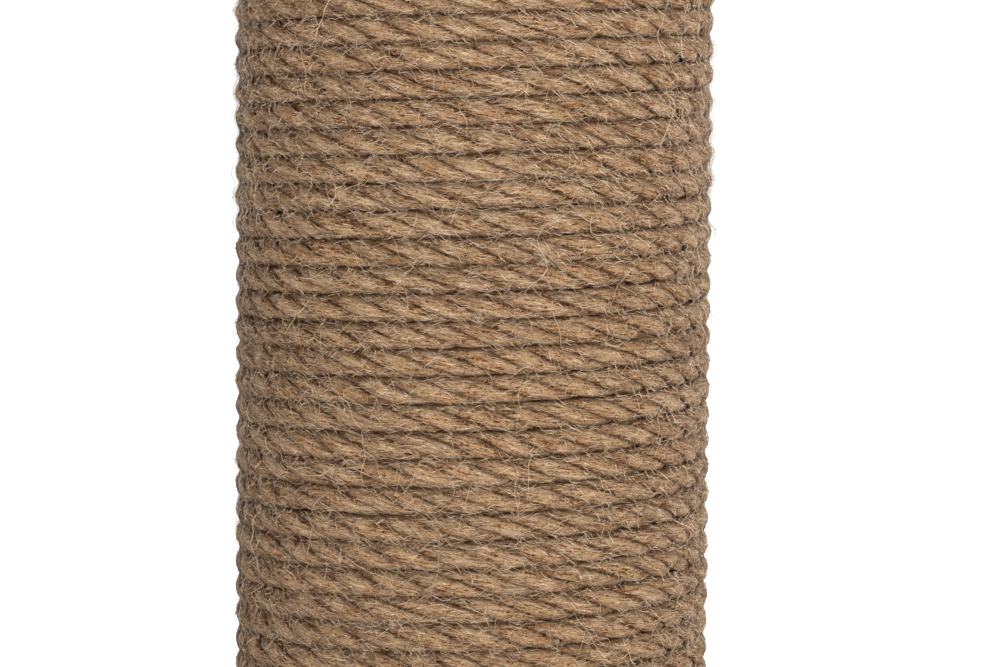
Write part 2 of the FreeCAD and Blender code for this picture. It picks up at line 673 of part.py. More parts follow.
def least_rope_gap(path):
    """Least gap between two turns, measured on points along the path."""
    steps = 72
    points = path.discretize(Number=int(number(f"{S}turns_each")) * steps + 1)
    least = math.inf
    for index, point in enumerate(points):
        for other in points[index + steps // 2 : index + steps + steps // 2]:
            least = min(least, point.distanceToPoint(other))
    return least - number(f"{S}rope_diameter")


def rope_staple_holes(side, height):
    """Slots for a rope staple's legs, as a tool that cuts the rope."""
    slot = number(f"({S}staple_wire + 2 * {S}screw_clearance)")
    depth = number(f"(2 * {S}rope_diameter)")
    slots = []
    for across in rope_staple_leg_middles(side):
        corner = FreeCAD.Vector(number(across) - slot / 2, number(CORE_RADIUS), height - slot / 2)
        slots.append(Part.makeBox(slot, depth, slot, corner))
    return slots


def make_windings():
    """Three windings, end to end, of one rope laid in a single layer."""
    path = rope_path()
    profile = Part.Circle(rope_point(0), rope_direction(0), number(f"{S}rope_diameter") / 2)
    tube = path.makePipeShell([Part.Wire([profile.toShape()])], True, False)
    section = math.pi * number(f"{S}rope_diameter") ** 2 / 4
    print(f"rope winding: least gap {least_rope_gap(path):.3f} mm, length {path.Length:.0f} mm")
    print(f"rope winding: volume over section times length {tube.Volume / (section * path.Length):.5f}")
    rise = number(WINDING_RISE)
    for index, label in enumerate(WINDINGS):
        shape = tube.copy()
        if index == 0:
            shape = shape.cut(rope_staple_holes("-", 0)).Solids[0]
        if index == len(WINDINGS) - 1:
            shape = shape.cut(rope_staple_holes("+", rise)).Solids[0]
        winding = doc.addObject("Part::Feature", label)
        winding.Label = label
        winding.Shape = shape
        winding.Placement.Base = FreeCAD.Vector(0, 0, number(ROPE_START) + index * rise)
        nodes.append(winding)


# ---------------------------------------------------------------------- cap

def make_cap_board():
    """Round board on top of the column, counterbored for the bolt's head."""
    body = new_body("cap_board", CAP_LEVEL)
    disc = new_sketch(body, "disc")
    add_circle(disc, f"(2 * {CAP_RADIUS})")
    pad(body, disc, f"{S}cap_board_thickness")
    hole = new_sketch(body, "bolt_hole")
    add_circle(hole, BOLT_HOLE_DIAMETER)
    pocket(body, hole, up=True)
    counterbore = new_sketch(body, "counterbore", offset=f"{S}cap_board_thickness")
    add_circle(counterbore, COUNTERBORE_DIAMETER)
    pocket(body, counterbore, COUNTERBORE_DEPTH)
    slots = new_sketch(body, "staple_slots")
    add_cover_staple_legs(slots, cap_staple_middles(), f"{S}screw_clearance")
    slot_cut = pocket(body, slots, f"({S}staple_reach + {S}screw_clearance)", up=True)
    repeat_round(body, slot_cut, f"{S}cap_staple_count")


def make_cap_foam():
    """Crowned foam pad on the cap board."""
    body = new_body("cap_foam", FOAM_LEVEL)
    profile = new_sketch(body, "profile", "XZ_Plane")
    add_crown(profile, CAP_RADIUS, ZERO, f"{S}foam_side", f"{S}foam_crown")
    revolve(body, profile)


def make_cap_cover():
    """Cover over foam and board, turned under the board down to the tube."""
    body = new_body("cap_cover", f"({CAP_LEVEL} - {S}hem_thickness)")
    inside = f"({CAP_RADIUS} + {S}cover_clearance)"
    foam_bottom = f"({S}hem_thickness + {S}cap_board_thickness)"
    inside_rim = f"({foam_bottom} + {S}foam_side)"
    inside_top = f"({foam_bottom} + {S}foam_crown + {S}cover_clearance)"
    outside = f"({inside} + {S}cover_thickness)"
    outside_top = f"({inside_top} + {S}cover_thickness)"
    shell = new_sketch(body, "outside", "XZ_Plane")
    add_crown(shell, outside, ZERO, inside_rim, outside_top)
    revolve(body, shell)
    cavity = new_sketch(body, "inside", "XZ_Plane")
    add_crown(cavity, inside, f"{S}hem_thickness", inside_rim, inside_top)
    groove(body, cavity)
    opening = new_sketch(body, "hem_opening")
    add_circle(opening, f"(2 * {ROPE_INNER_RADIUS})")
    pocket(body, opening, f"{S}hem_thickness", up=True)
    slots = new_sketch(body, "staple_slots")
    add_cover_staple_legs(slots, cap_staple_middles(), f"{S}screw_clearance")
    slot_cut = pocket(body, slots, f"{S}hem_thickness", up=True)
    repeat_round(body, slot_cut, f"{S}cap_staple_count")


BOARD_UNDER_BOLT = f"({S}board_thickness - {COUNTERBORE_DEPTH})"
NUT_STACK = f"({S}plug_thickness + {S}nut_flange_thickness + {S}bolt_overrun)"
BOLT_LENGTH = f"({S}washer_thickness + {BOARD_UNDER_BOLT} + {S}cover_thickness + {NUT_STACK})"
BASE_SEAT = f"({BOARD_LEVEL} + {COUNTERBORE_DEPTH} - {S}washer_thickness)"
CAP_SEAT = f"({FOAM_LEVEL} - {COUNTERBORE_DEPTH})"

make_base_board()
make_base_cover()
make_cover_staples("base_cover_staples", f"({BOARD_LEVEL} - {S}hem_thickness)", base_staple_middles(), "4")
for foot_label, foot_across, foot_up in (
    ("foot_front_left", "-", "-"),
    ("foot_front_right", "+", "-"),
    ("foot_back_left", "-", "+"),
    ("foot_back_right", "+", "+"),
):
    make_foot(foot_label, foot_across, foot_up)
make_foot_screws()
make_washer("base_washer", BASE_SEAT)
make_bolt("base_bolt", BASE_SEAT)
make_core()
make_plug("bottom_plug", DECK_LEVEL)
make_pronged_nut("bottom_pronged_nut", f"({DECK_LEVEL} + {S}plug_thickness)")
make_brads("bottom_plug_brads", f"({DECK_LEVEL} + {S}plug_thickness / 2)")
make_windings()
make_rope_staple("rope_start_staple", ROPE_START, "-")
make_rope_staple("rope_end_staple", ROPE_END, "+")
make_plug("top_plug", CAP_LEVEL, flipped=True)
make_pronged_nut("top_pronged_nut", f"({CAP_LEVEL} - {S}plug_thickness)", flipped=True)
make_brads("top_plug_brads", f"({CAP_LEVEL} - {S}plug_thickness / 2)")
make_cap_board()
make_washer("cap_washer", CAP_SEAT)
make_bolt("cap_bolt", f"({CAP_SEAT} + {S}washer_thickness)", flipped=True)
make_cap_foam()
make_cap_cover()
cap_hem_level = f"({CAP_LEVEL} - {S}hem_thickness)"
make_cover_staples("cap_cover_staples", cap_hem_level, cap_staple_middles(), f"{S}cap_staple_count")

doc.recompute()
for item in doc.Objects:
    if "Invalid" in item.State or "Error" in item.State:
        raise ValueError(f"{item.Label} could not be built: {item.State}")
for node in nodes:
    if node.Shape.isNull() or not node.Shape.isValid():
        raise ValueError(f"{node.Label} has no valid solid")
for node in nodes:
    node.Shape.exportStep(f"parts/{node.Label}.step")
    print(f"{node.Label}: {len(node.Shape.Solids)} solid(s), {node.Shape.Volume:.1f} mm3")
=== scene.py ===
"""Studio picture of a free-standing cat scratching post.

A cardboard column wound with one layer of three-strand jute rope stands on a
square base and carries a padded cap, both covered in short-pile plush. Lengths
are worked in millimetres and turned to metres where a mesh is made.
"""

import json
import logging
import math
from collections.abc import Callable
from dataclasses import dataclass, field
from enum import Enum, IntEnum

import bpy
import numpy as np
from mathutils import Matrix, Vector

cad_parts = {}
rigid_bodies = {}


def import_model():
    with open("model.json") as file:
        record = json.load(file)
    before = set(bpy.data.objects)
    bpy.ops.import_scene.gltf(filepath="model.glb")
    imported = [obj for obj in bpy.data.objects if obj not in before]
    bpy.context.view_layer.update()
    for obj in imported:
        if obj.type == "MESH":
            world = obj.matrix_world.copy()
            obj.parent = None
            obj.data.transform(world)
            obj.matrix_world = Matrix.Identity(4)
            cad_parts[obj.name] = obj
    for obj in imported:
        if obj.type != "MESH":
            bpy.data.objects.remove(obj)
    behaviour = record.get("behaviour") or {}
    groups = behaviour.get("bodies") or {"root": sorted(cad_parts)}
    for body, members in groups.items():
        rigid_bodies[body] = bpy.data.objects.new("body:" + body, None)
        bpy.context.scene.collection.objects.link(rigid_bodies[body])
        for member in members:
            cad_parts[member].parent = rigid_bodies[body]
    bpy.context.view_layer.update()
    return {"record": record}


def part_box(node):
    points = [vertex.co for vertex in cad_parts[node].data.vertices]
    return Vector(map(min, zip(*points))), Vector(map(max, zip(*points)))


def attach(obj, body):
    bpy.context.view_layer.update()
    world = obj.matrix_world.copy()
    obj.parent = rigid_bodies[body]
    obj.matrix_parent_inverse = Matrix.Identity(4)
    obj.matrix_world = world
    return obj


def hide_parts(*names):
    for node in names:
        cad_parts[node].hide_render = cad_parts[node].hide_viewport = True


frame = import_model()

MM = 0.001
BODY = "root"
PHOTO_WIDTH_PX = 1000
TINY = 1e-6

log = logging.getLogger("scratching_post")

# A node and the output socket of it that feeds something.
Source = tuple[bpy.types.Node, str | int]


class Slot(Enum):
    """Material slots of the record."""

    JUTE_ROPE = "jute_rope"
    PLUSH_COVER = "plush_cover"
    FOAM = "foam"
    FIBREBOARD = "fibreboard"
    PLUG_WOOD = "plug_wood"
    TUBE_BOARD = "tube_board"
    ZINC_STEEL = "zinc_steel"
    STAPLE_STEEL = "staple_steel"
    FOOT_RUBBER = "foot_rubber"


class Noise(IntEnum):
    """Fields of smooth random values, each with the number that seeds it."""

    DRIFT = 11
    SWAY = 12
    LAY = 21
    SWELL = 22
    BUNDLES = 23
    YARNS = 24
    SLOW_SWELL = 25
    SLITS = 26
    PATCHES = 35


class Mix(IntEnum):
    """Input sockets of the mix node by number, since several of them share a name."""

    SHARE = 0
    FIRST_NUMBER = 2
    SECOND_NUMBER = 3
    FIRST_COLOUR = 6
    SECOND_COLOUR = 7


MIX_COLOUR_OUT = 2


# ------------------------------------------------------------------ helpers


def linear(hex_code: str) -> tuple[float, float, float, float]:
    """Turn an sRGB hex colour to linear light.

    Args:
        hex_code: Six hex digits after a hash sign.

    Returns:
        Red, green, blue and an alpha of one.
    """
    digits = hex_code.lstrip("#")
    channels = []
    for start in (0, 2, 4):
        value = int(digits[start : start + 2], 16) / 255
        channels.append(value / 12.92 if value <= 0.04045 else ((value + 0.055) / 1.055) ** 2.4)
    return (*channels, 1.0)


def set_up(
    tree: bpy.types.NodeTree,
    node: bpy.types.Node,
    settings: dict | None = None,
    links: dict | None = None,
) -> bpy.types.Node:
    """Give a shader node its settings and links.

    Args:
        tree: Node tree that holds the node.
        node: The node.
        settings: Values for its input sockets or, where no socket has the name, its properties.
        links: Input socket to the node and output socket that feed it.

    Returns:
        The same node.
    """
    properties = [key for key in settings or {} if isinstance(key, str) and key not in node.inputs]
    for key in properties:
        setattr(node, key, settings[key])
    for key, value in (settings or {}).items():
        if key not in properties:
            node.inputs[key].default_value = value
    for key, (source, output) in (links or {}).items():
        tree.links.new(source.outputs[output], node.inputs[key])
    return node


def add_node(
    tree: bpy.types.NodeTree,
    kind: str,
    settings: dict | None = None,
    links: dict | None = None,
) -> bpy.types.Node:
    """Add one shader node.

    Args:
        tree: Node tree that gets the node.
        kind: Node type, such as ShaderNodeTexNoise.
        settings: Values for its input sockets or its properties.
        links: Input socket to the node and output socket that feed it.

    Returns:
        The new node.
    """
    return set_up(tree, tree.nodes.new(kind), settings, links)


def span(reach: tuple[float, float], values: tuple[float, float], easing: str = "LINEAR") -> dict:
    """Settings of a map range node.

    Args:
        reach: Where the change starts and ends.
        values: What it gives before and after.
        easing: How it goes from one to the other.

    Returns:
        The settings.
    """
    sockets = ("From Min", "From Max", "To Min", "To Max")
    return {"interpolation_type": easing, **dict(zip(sockets, (*reach, *values)))}


def set_ramp(node: bpy.types.Node, stops: list[tuple[float, str]]) -> bpy.types.Node:
    """Give a colour ramp its stops.

    Args:
        node: The colour ramp.
        stops: Positions from 0 to 1, each with its hex colour.

    Returns:
        The same node.
    """
    elements = node.color_ramp.elements
    while len(elements) < len(stops):
        elements.new(0.5)
    for element, (position, colour) in zip(elements, stops):
        element.position = position
        element.color = linear(colour)
    return node


def new_material(name: str) -> tuple[bpy.types.Material, bpy.types.NodeTree, bpy.types.Node]:
    """Make an empty material with one principled shader.

    Args:
        name: Name of the real material and how it was made.

    Returns:
        The material, its node tree and the shader node.
    """
    material = bpy.data.materials.new(name)
    material.use_nodes = True
    tree = material.node_tree
    tree.nodes.clear()
    shader = add_node(tree, "ShaderNodeBsdfPrincipled")
    add_node(tree, "ShaderNodeOutputMaterial", links={"Surface": (shader, "BSDF")})
    return material, tree, shader


HASH_ACROSS = 374761393
HASH_ALONG = 668265263
HASH_FIELD = 974634777
HASH_STIR = 1274126177
LOW_BITS = 0xFFFFFFFF
HALF_RANGE = 2147483648.0


def value_noise(across: np.ndarray, along: np.ndarray | float, which: Noise) -> np.ndarray:
    """Smooth random values on a plane, the same each time.

    Args:
        across: First coordinate, in lattice steps.
        along: Second coordinate, in lattice steps.
        which: Field that the values come from.

    Returns:
        A value from -1 to 1 at each point.
    """
    low_across, low_along = np.floor(across), np.floor(along)
    part_across, part_along = across - low_across, along - low_along
    ease_across = part_across * part_across * (3 - 2 * part_across)
    ease_along = part_along * part_along * (3 - 2 * part_along)

    def corner(step_across: int, step_along: int) -> np.ndarray:
        """Value at one corner of each lattice cell."""
        column = (low_across + step_across).astype(np.int64) & LOW_BITS
        row = (low_along + step_along).astype(np.int64) & LOW_BITS
        mixed = (column * HASH_ACROSS + row * HASH_ALONG + which * HASH_FIELD) & LOW_BITS
        mixed = ((mixed ^ (mixed >> 13)) * HASH_STIR) & LOW_BITS
        mixed = mixed ^ (mixed >> 16)
        return mixed / HALF_RANGE - 1

    near = corner(0, 0) * (1 - ease_across) + corner(1, 0) * ease_across
    far = corner(0, 1) * (1 - ease_across) + corner(1, 1) * ease_across
    return near * (1 - ease_along) + far * ease_along


def mesh_piece(
    name: str,
    points: np.ndarray,
    quads: np.ndarray,
    triangles: np.ndarray | None = None,
    smooth: bool = True,
) -> bpy.types.Object:
    """Make a mesh object from arrays.

    Args:
        name: Name of the piece.
        points: Points in millimetres, one row each.
        quads: Rows of four point numbers.
        triangles: Rows of three point numbers, if there are any.
        smooth: Whether its faces are shaded smooth.

    Returns:
        The object, linked to the scene.
    """
    triangles = np.zeros((0, 3), np.int32) if triangles is None else triangles
    mesh = bpy.data.meshes.new(name)
    corners = np.concatenate([quads.ravel(), triangles.ravel()]).astype(np.int32)
    starts = np.concatenate([np.arange(len(quads)) * 4, len(quads) * 4 + np.arange(len(triangles)) * 3])
    mesh.vertices.add(len(points))
    mesh.vertices.foreach_set("co", (points * MM).astype(np.float32).ravel())
    mesh.loops.add(len(corners))
    mesh.loops.foreach_set("vertex_index", corners)
    mesh.polygons.add(len(starts))
    mesh.polygons.foreach_set("loop_start", starts.astype(np.int32))
    mesh.update(calc_edges=True)
    if smooth:
        mesh.shade_smooth()
    else:
        mesh.shade_flat()
    piece = bpy.data.objects.new(name, mesh)
    bpy.context.scene.collection.objects.link(piece)
    return piece


def tube_faces(rings: int, count: int) -> tuple[np.ndarray, np.ndarray]:
    """Faces between rings of points, and fans that close the first and the last ring.

    Args:
        rings: How many rings, numbered ring by ring, with the two fans' middles after them.
        count: Points in each ring.

    Returns:
        Quads of the side, and triangles of the two fans.
    """
    ring, column = np.meshgrid(np.arange(rings - 1), np.arange(count), indexing="ij")
    after = (column + 1) % count
    low, high = ring * count, (ring + 1) * count
    quads = np.stack([low + column, high + column, high + after, low + after], axis=2).reshape(-1, 4)
    around = np.arange(count)
    beside = (around + 1) % count
    middle, last = rings * count, (rings - 1) * count
    first_fan = np.stack([around * 0 + middle, around, beside], axis=1)
    last_fan = np.stack([around * 0 + middle + 1, last + beside, last + around], axis=1)
    return quads, np.concatenate([first_fan, last_fan])


def ring_shell(name: str, rings: list[np.ndarray]) -> bpy.types.Object:
    """Closed surface through rings of points, its two ends closed by fans.

    Args:
        name: Name of the piece.
        rings: Equal rows of points, in order along the section.

    Returns:
        The mesh object.
    """
    middles = [rings[0].mean(axis=0, keepdims=True), rings[-1].mean(axis=0, keepdims=True)]
    return mesh_piece(name, np.concatenate([*rings, *middles]), *tube_faces(len(rings), len(rings[0])))


def point_values(piece: bpy.types.Object, name: str, values: np.ndarray) -> None:
    """Store one number at each point of a piece, for its material.

    Args:
        piece: The mesh object.
        name: Name of the attribute.
        values: One number for each point.
    """
    attribute = piece.data.attributes.new(name, "FLOAT", "POINT")
    attribute.data.foreach_set("value", values.astype(np.float32))


def corner_map(piece: bpy.types.Object, name: str, places: np.ndarray) -> None:
    """Store a flat map of a piece's surface.

    Args:
        piece: The mesh object.
        name: Name of the map.
        places: Two coordinates for each corner of each face.
    """
    layer = piece.data.uv_layers.new(name=name)
    layer.uv.foreach_set("vector", places.astype(np.float32).ravel())


def settle(piece: bpy.types.Object, slot: Slot, material: bpy.types.Material, *nodes: str) -> None:
    """Dress a piece and let it ride on the post.

    Args:
        piece: The object.
        slot: The record's material slot; not used.
        material: Its finish.
        nodes: CAD nodes that it stands for.
    """
    piece.data.materials.append(material)
    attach(piece, BODY)
    if nodes:
        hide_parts(*nodes)


# ----------------------------------------------------------------- finishes


@dataclass(frozen=True)
class Marks:
    """Marks of a pattern that is drawn out along the fibres, in millimetres."""

    length: float
    width: float
    octaves: float = 2.0


# Jute yarn laid into rope, neither dyed nor glazed. Its bast fibres lie nearly along each strand, so the eye
# sees matt streaks of straw and brown with some pale fibres. Painted shade darkens thin creases between
# bundles and, to nearly black, the slits between strands and the grooves between turns; a painted highlight
# lightens each strand's crown. A fibre is about 0.05 mm thick, a quarter of a pixel in this picture, so the
# finest streaks are drawn coarser, 0.24 mm wide, to show at all.
@dataclass(frozen=True)
class JuteRope:
    """Finish of the laid rope."""

    # Near-black colour of the painted shade in slits, grooves and creases, and of the darkest streaks.
    gap_shade: str = "#1F0D03"
    shadow: str = "#4B2812"
    body: str = "#876848"
    light: str = "#907A60"
    # Palest stop: pale fibres, and the painted highlight on strand crowns.
    pale_and_highlight: str = "#B5A48C"
    rust: str = "#784A28"
    streaks: Marks = Marks(3.6, 0.45, 3.0)
    fibres: Marks = Marks(1.7, 0.24)
    fluff: Marks = Marks(0.45, 0.3)
    clouds: Marks = Marks(14.0, 2.6)
    rust_patches: Marks = Marks(7.0, 1.1)
    creases: Marks = Marks(5.0, 0.62)
    fibre_share: float = 0.5
    fluff_share: float = 0.3
    cloud_share: float = 0.14
    rust_reach: tuple[float, float] = (0.52, 0.72)
    rust_share: float = 0.3
    crease_reach: float = 0.03
    # Darkness of the painted shade in the creases between bundles.
    crease_shade: float = 0.8
    # How far the painted highlight lifts the pattern on strand crowns.
    crest_highlight: float = 0.035
    relief_mm: float = 0.45
    roughness: float = 0.78
    specular: float = 0.12

    def build(self) -> bpy.types.Material:
        """Make the finish.

        Returns:
            A material that reads the rope's own map: millimetres along it and across its fibres.
        """
        material, tree, shader = new_material("jute_rope_laid")
        lay = add_node(tree, "ShaderNodeUVMap", {"uv_map": "Lay"})
        coarse = (self.drawn_out(tree, lay, self.streaks), "Fac")
        finer = ((self.fibres, self.fibre_share), (self.fluff, self.fluff_share))
        fine = self.overlaid(tree, lay, coarse, *finer)
        mixed = self.overlaid(tree, lay, fine, (self.clouds, self.cloud_share))
        # Painted highlight: the pattern is raised on each strand's crown, towards the pale end of the ramp.
        crest = add_node(tree, "ShaderNodeAttribute", {"attribute_name": "crest"})
        lighter = {"operation": "MULTIPLY_ADD", 1: self.crest_highlight}
        highlighted = add_node(tree, "ShaderNodeMath", lighter, {0: (crest, "Fac"), 2: mixed})
        ramp = add_node(tree, "ShaderNodeValToRGB", links={"Fac": (highlighted, 0)})
        stops = [
            (0.37, self.gap_shade),
            (0.435, self.shadow),
            (0.48, self.body),
            (0.565, self.light),
            (0.66, self.pale_and_highlight),
        ]
        set_ramp(ramp, stops)
        colour = self.stained_and_shaded(tree, lay, (ramp, "Color"))
        relief = {"Strength": 1.0, "Distance": self.relief_mm * MM}
        bump = add_node(tree, "ShaderNodeBump", relief, {"Height": fine})
        finish = {"Roughness": self.roughness, "Specular IOR Level": self.specular}
        set_up(tree, shader, finish, {"Base Color": colour, "Normal": (bump, "Normal")})
        return material

    def overlaid(
        self,
        tree: bpy.types.NodeTree,
        lay: bpy.types.Node,
        pattern: Source,
        *layers: tuple[Marks, float],
    ) -> Source:
        """Blend drawn-out noises into a pattern, one after the other.

        Args:
            tree: Node tree of the material.
            lay: Node that gives millimetres along and across the fibres.
            pattern: What the noises are blended into.
            layers: Marks of each noise, with its share of the blend.

        Returns:
            The blended pattern.
        """
        for marks, share in layers:
            noise = self.drawn_out(tree, lay, marks)
            links = {Mix.FIRST_NUMBER: pattern, Mix.SECOND_NUMBER: (noise, "Fac")}
            blend = add_node(tree, "ShaderNodeMix", {"data_type": "FLOAT", Mix.SHARE: share}, links)
            pattern = (blend, "Result")
        return pattern

    def stained_and_shaded(self, tree: bpy.types.NodeTree, lay: bpy.types.Node, colour: Source) -> Source:
        """Stain a colour with rusty patches; paint shade into thin creases between bundles, slits and
        grooves.

        Args:
            tree: Node tree of the material.
            lay: Node that gives millimetres along and across the fibres.
            colour: The colour of the fibres.

        Returns:
            The stained colour.
        """
        patches = self.drawn_out(tree, lay, self.rust_patches)
        rusty = span(self.rust_reach, (0.0, self.rust_share))
        rust = add_node(tree, "ShaderNodeMapRange", rusty, {"Value": (patches, "Fac")})
        # Painted shade: thin dark lines in the creases between bundles of fibres.
        bundles = self.drawn_out(tree, lay, self.creases)
        offset = add_node(tree, "ShaderNodeMath", {"operation": "SUBTRACT", 1: 0.5}, {0: (bundles, "Fac")})
        away = add_node(tree, "ShaderNodeMath", {"operation": "ABSOLUTE"}, {0: (offset, 0)})
        creased = span((0.0, self.crease_reach), (self.crease_shade, 0.0))
        crease = add_node(tree, "ShaderNodeMapRange", creased, {"Value": (away, 0)})
        # Painted shade in the slits between strands and the grooves between turns.
        gap_shade = add_node(tree, "ShaderNodeAttribute", {"attribute_name": "gap_shade"})
        stains_and_shades = (((rust, "Result"), self.rust), ((crease, "Result"), self.gap_shade), ((gap_shade, "Fac"), self.gap_shade))
        for share, tint in stains_and_shades:
            settings = {"data_type": "RGBA", Mix.SECOND_COLOUR: linear(tint)}
            mix = add_node(tree, "ShaderNodeMix", settings, {Mix.SHARE: share, Mix.FIRST_COLOUR: colour})
            colour = (mix, MIX_COLOUR_OUT)
        return colour

    @staticmethod
    def drawn_out(tree: bpy.types.NodeTree, lay: bpy.types.Node, marks: Marks) -> bpy.types.Node:
        """Noise drawn out along the fibres.

        Args:
            tree: Node tree of the material.
            lay: Node that gives millimetres along and across the fibres.
            marks: Size of its marks, and its octaves of finer noise.

        Returns:
            The noise node.
        """
        stretch = {"operation": "MULTIPLY", 1: (1 / marks.length, 1 / marks.width, 1.0)}
        scaled = add_node(tree, "ShaderNodeVectorMath", stretch, {0: (lay, "UV")})
        settings = {"noise_dimensions": "2D", "Scale": 1.0, "Detail": marks.octaves}
        settings |= {"Roughness": 0.65, "Distortion": 0.5}
        return add_node(tree, "ShaderNodeTexNoise", settings, {"Vector": (scaled, 0)})


# Single jute fibres that have worked out of the yarn: pale straw to brown, and a little smoother than the
# rope, so that they stand out light against it. Many are under 0.05 mm thick and would not show, so they
# are made somewhat thicker, 0.05 to 0.13 mm.
@dataclass(frozen=True)
class LooseJute:
    """Finish of the loose fibres."""

    dark: str = "#48260F"
    body: str = "#907257"
    body_tone: float = 0.55
    pale: str = "#C9B599"
    roughness: float = 0.55
    specular: float = 0.12

    def build(self) -> bpy.types.Material:
        """Make the finish.

        Returns:
            A material that reads each fibre's own tone.
        """
        material, tree, shader = new_material("jute_fibre_loose")
        tone = add_node(tree, "ShaderNodeAttribute", {"attribute_name": "tone"})
        ramp = add_node(tree, "ShaderNodeValToRGB", links={"Fac": (tone, "Fac")})
        set_ramp(ramp, [(0.0, self.dark), (self.body_tone, self.body), (1.0, self.pale)])
        finish = {"Roughness": self.roughness, "Specular IOR Level": self.specular}
        set_up(tree, shader, finish, {"Base Color": (ramp, "Color")})
        return material


# --------------------------------------------------------------------- rope


# The rope starts and ends at the back of the column.
START_ANGLE = math.pi / 2


@dataclass(frozen=True)
class Unevenness:
    """How far something strays to each side along the rope, and over what length in millimetres."""

    amount: float
    length: float
    which: Noise
    lanes: float = 0.0

    def along(self, run: np.ndarray, strand: np.ndarray | int = 0) -> np.ndarray:
        """Work the stray values out.

        Args:
            run: Millimetres along the rope.
            strand: Number of the strand, where each strand strays by itself.

        Returns:
            A value at each place.
        """
        return self.amount * value_noise(run / self.length, strand * self.lanes + 0.5, self.which)


@dataclass
class RopeRoute:
    """Middle line of the rope round the column, from its lower cut end upwards."""

    turns: int = 72
    windings: int = 3
    pitch: float = 0.0
    start_level: float = 0.0
    core_radius: float = 0.0
    thickness: float = 5.3
    bedding: float = 0.1
    seat_gap: float = 0.15
    tilt: float = 0.7
    drift: Unevenness = Unevenness(0.16, 55.0, Noise.DRIFT)
    sway: Unevenness = Unevenness(0.096, 55.0, Noise.SWAY)
    sway_shift: float = 2200.0
    end_inset: float = 0.4

    @classmethod
    def from_frame(cls) -> "RopeRoute":
        """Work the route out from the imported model.

        Returns:
            A route on the CAD tube, with the CAD windings' pitch and level.
        """
        route = cls()
        lower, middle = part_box("rope_winding_lower"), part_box("rope_winding_middle")
        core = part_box("post_core")
        route.pitch = (middle[0].z - lower[0].z) / MM / (route.turns / route.windings)
        route.core_radius = (core[1].x - core[0].x) / MM / 2
        laid_radius = (middle[1].y / MM - route.core_radius) / 2
        route.start_level = lower[0].z / MM + laid_radius - route.seat_gap
        return route

    @property
    def radius(self) -> float:
        """Distance of the rope's middle line from the column's axis."""
        return self.core_radius + self.thickness / 2 - self.bedding

    @property
    def crest(self) -> float:
        """Distance of the rope's outer side from the column's axis."""
        return self.radius + self.thickness / 2

    @property
    def length(self) -> float:
        """Length of the whole rope."""
        return 2 * math.pi * self.radius * self.turns

    def reach(self) -> tuple[float, float]:
        """Lowest and highest level that a loose fibre may have, just inside the rope's skin."""
        spare = self.thickness / 2 - self.end_inset
        return self.start_level - spare, self.start_level + self.pitch * self.turns + spare

    def turn_level(self, angle: np.ndarray) -> np.ndarray:
        """Level of one turn's middle at an angle round the column.

        Args:
            angle: Angle from +X.

        Returns:
            The level, to be taken with any whole number of pitches.
        """
        turn = (angle - START_ANGLE) / (2 * math.pi)
        return self.start_level + self.pitch * turn + self.tilt * np.cos(angle)

    def frames(self, turn: np.ndarray) -> tuple[np.ndarray, np.ndarray, np.ndarray, np.ndarray]:
        """Places and directions along the rope.

        Args:
            turn: Turns from the lower end.

        Returns:
            Middle points, unit vectors along the rope, away from the column, and across both.
        """
        angle = 2 * math.pi * turn + START_ANGLE
        run = turn * self.length / self.turns
        radius = self.radius + self.sway.along(run + self.sway_shift)
        level = self.start_level + self.pitch * turn + self.tilt * np.cos(angle) + self.drift.along(run)
        middle = np.stack([radius * np.cos(angle), radius * np.sin(angle), level], axis=1)
        rise = self.pitch / (2 * math.pi) - self.tilt * np.sin(angle)
        along = np.stack([-self.radius * np.sin(angle), self.radius * np.cos(angle), rise], axis=1)
        along /= np.linalg.norm(along, axis=1, keepdims=True)
        outward = np.stack([np.cos(angle), np.sin(angle), 0 * angle], axis=1)
        across = np.cross(along, outward)
        return middle, along, outward, across


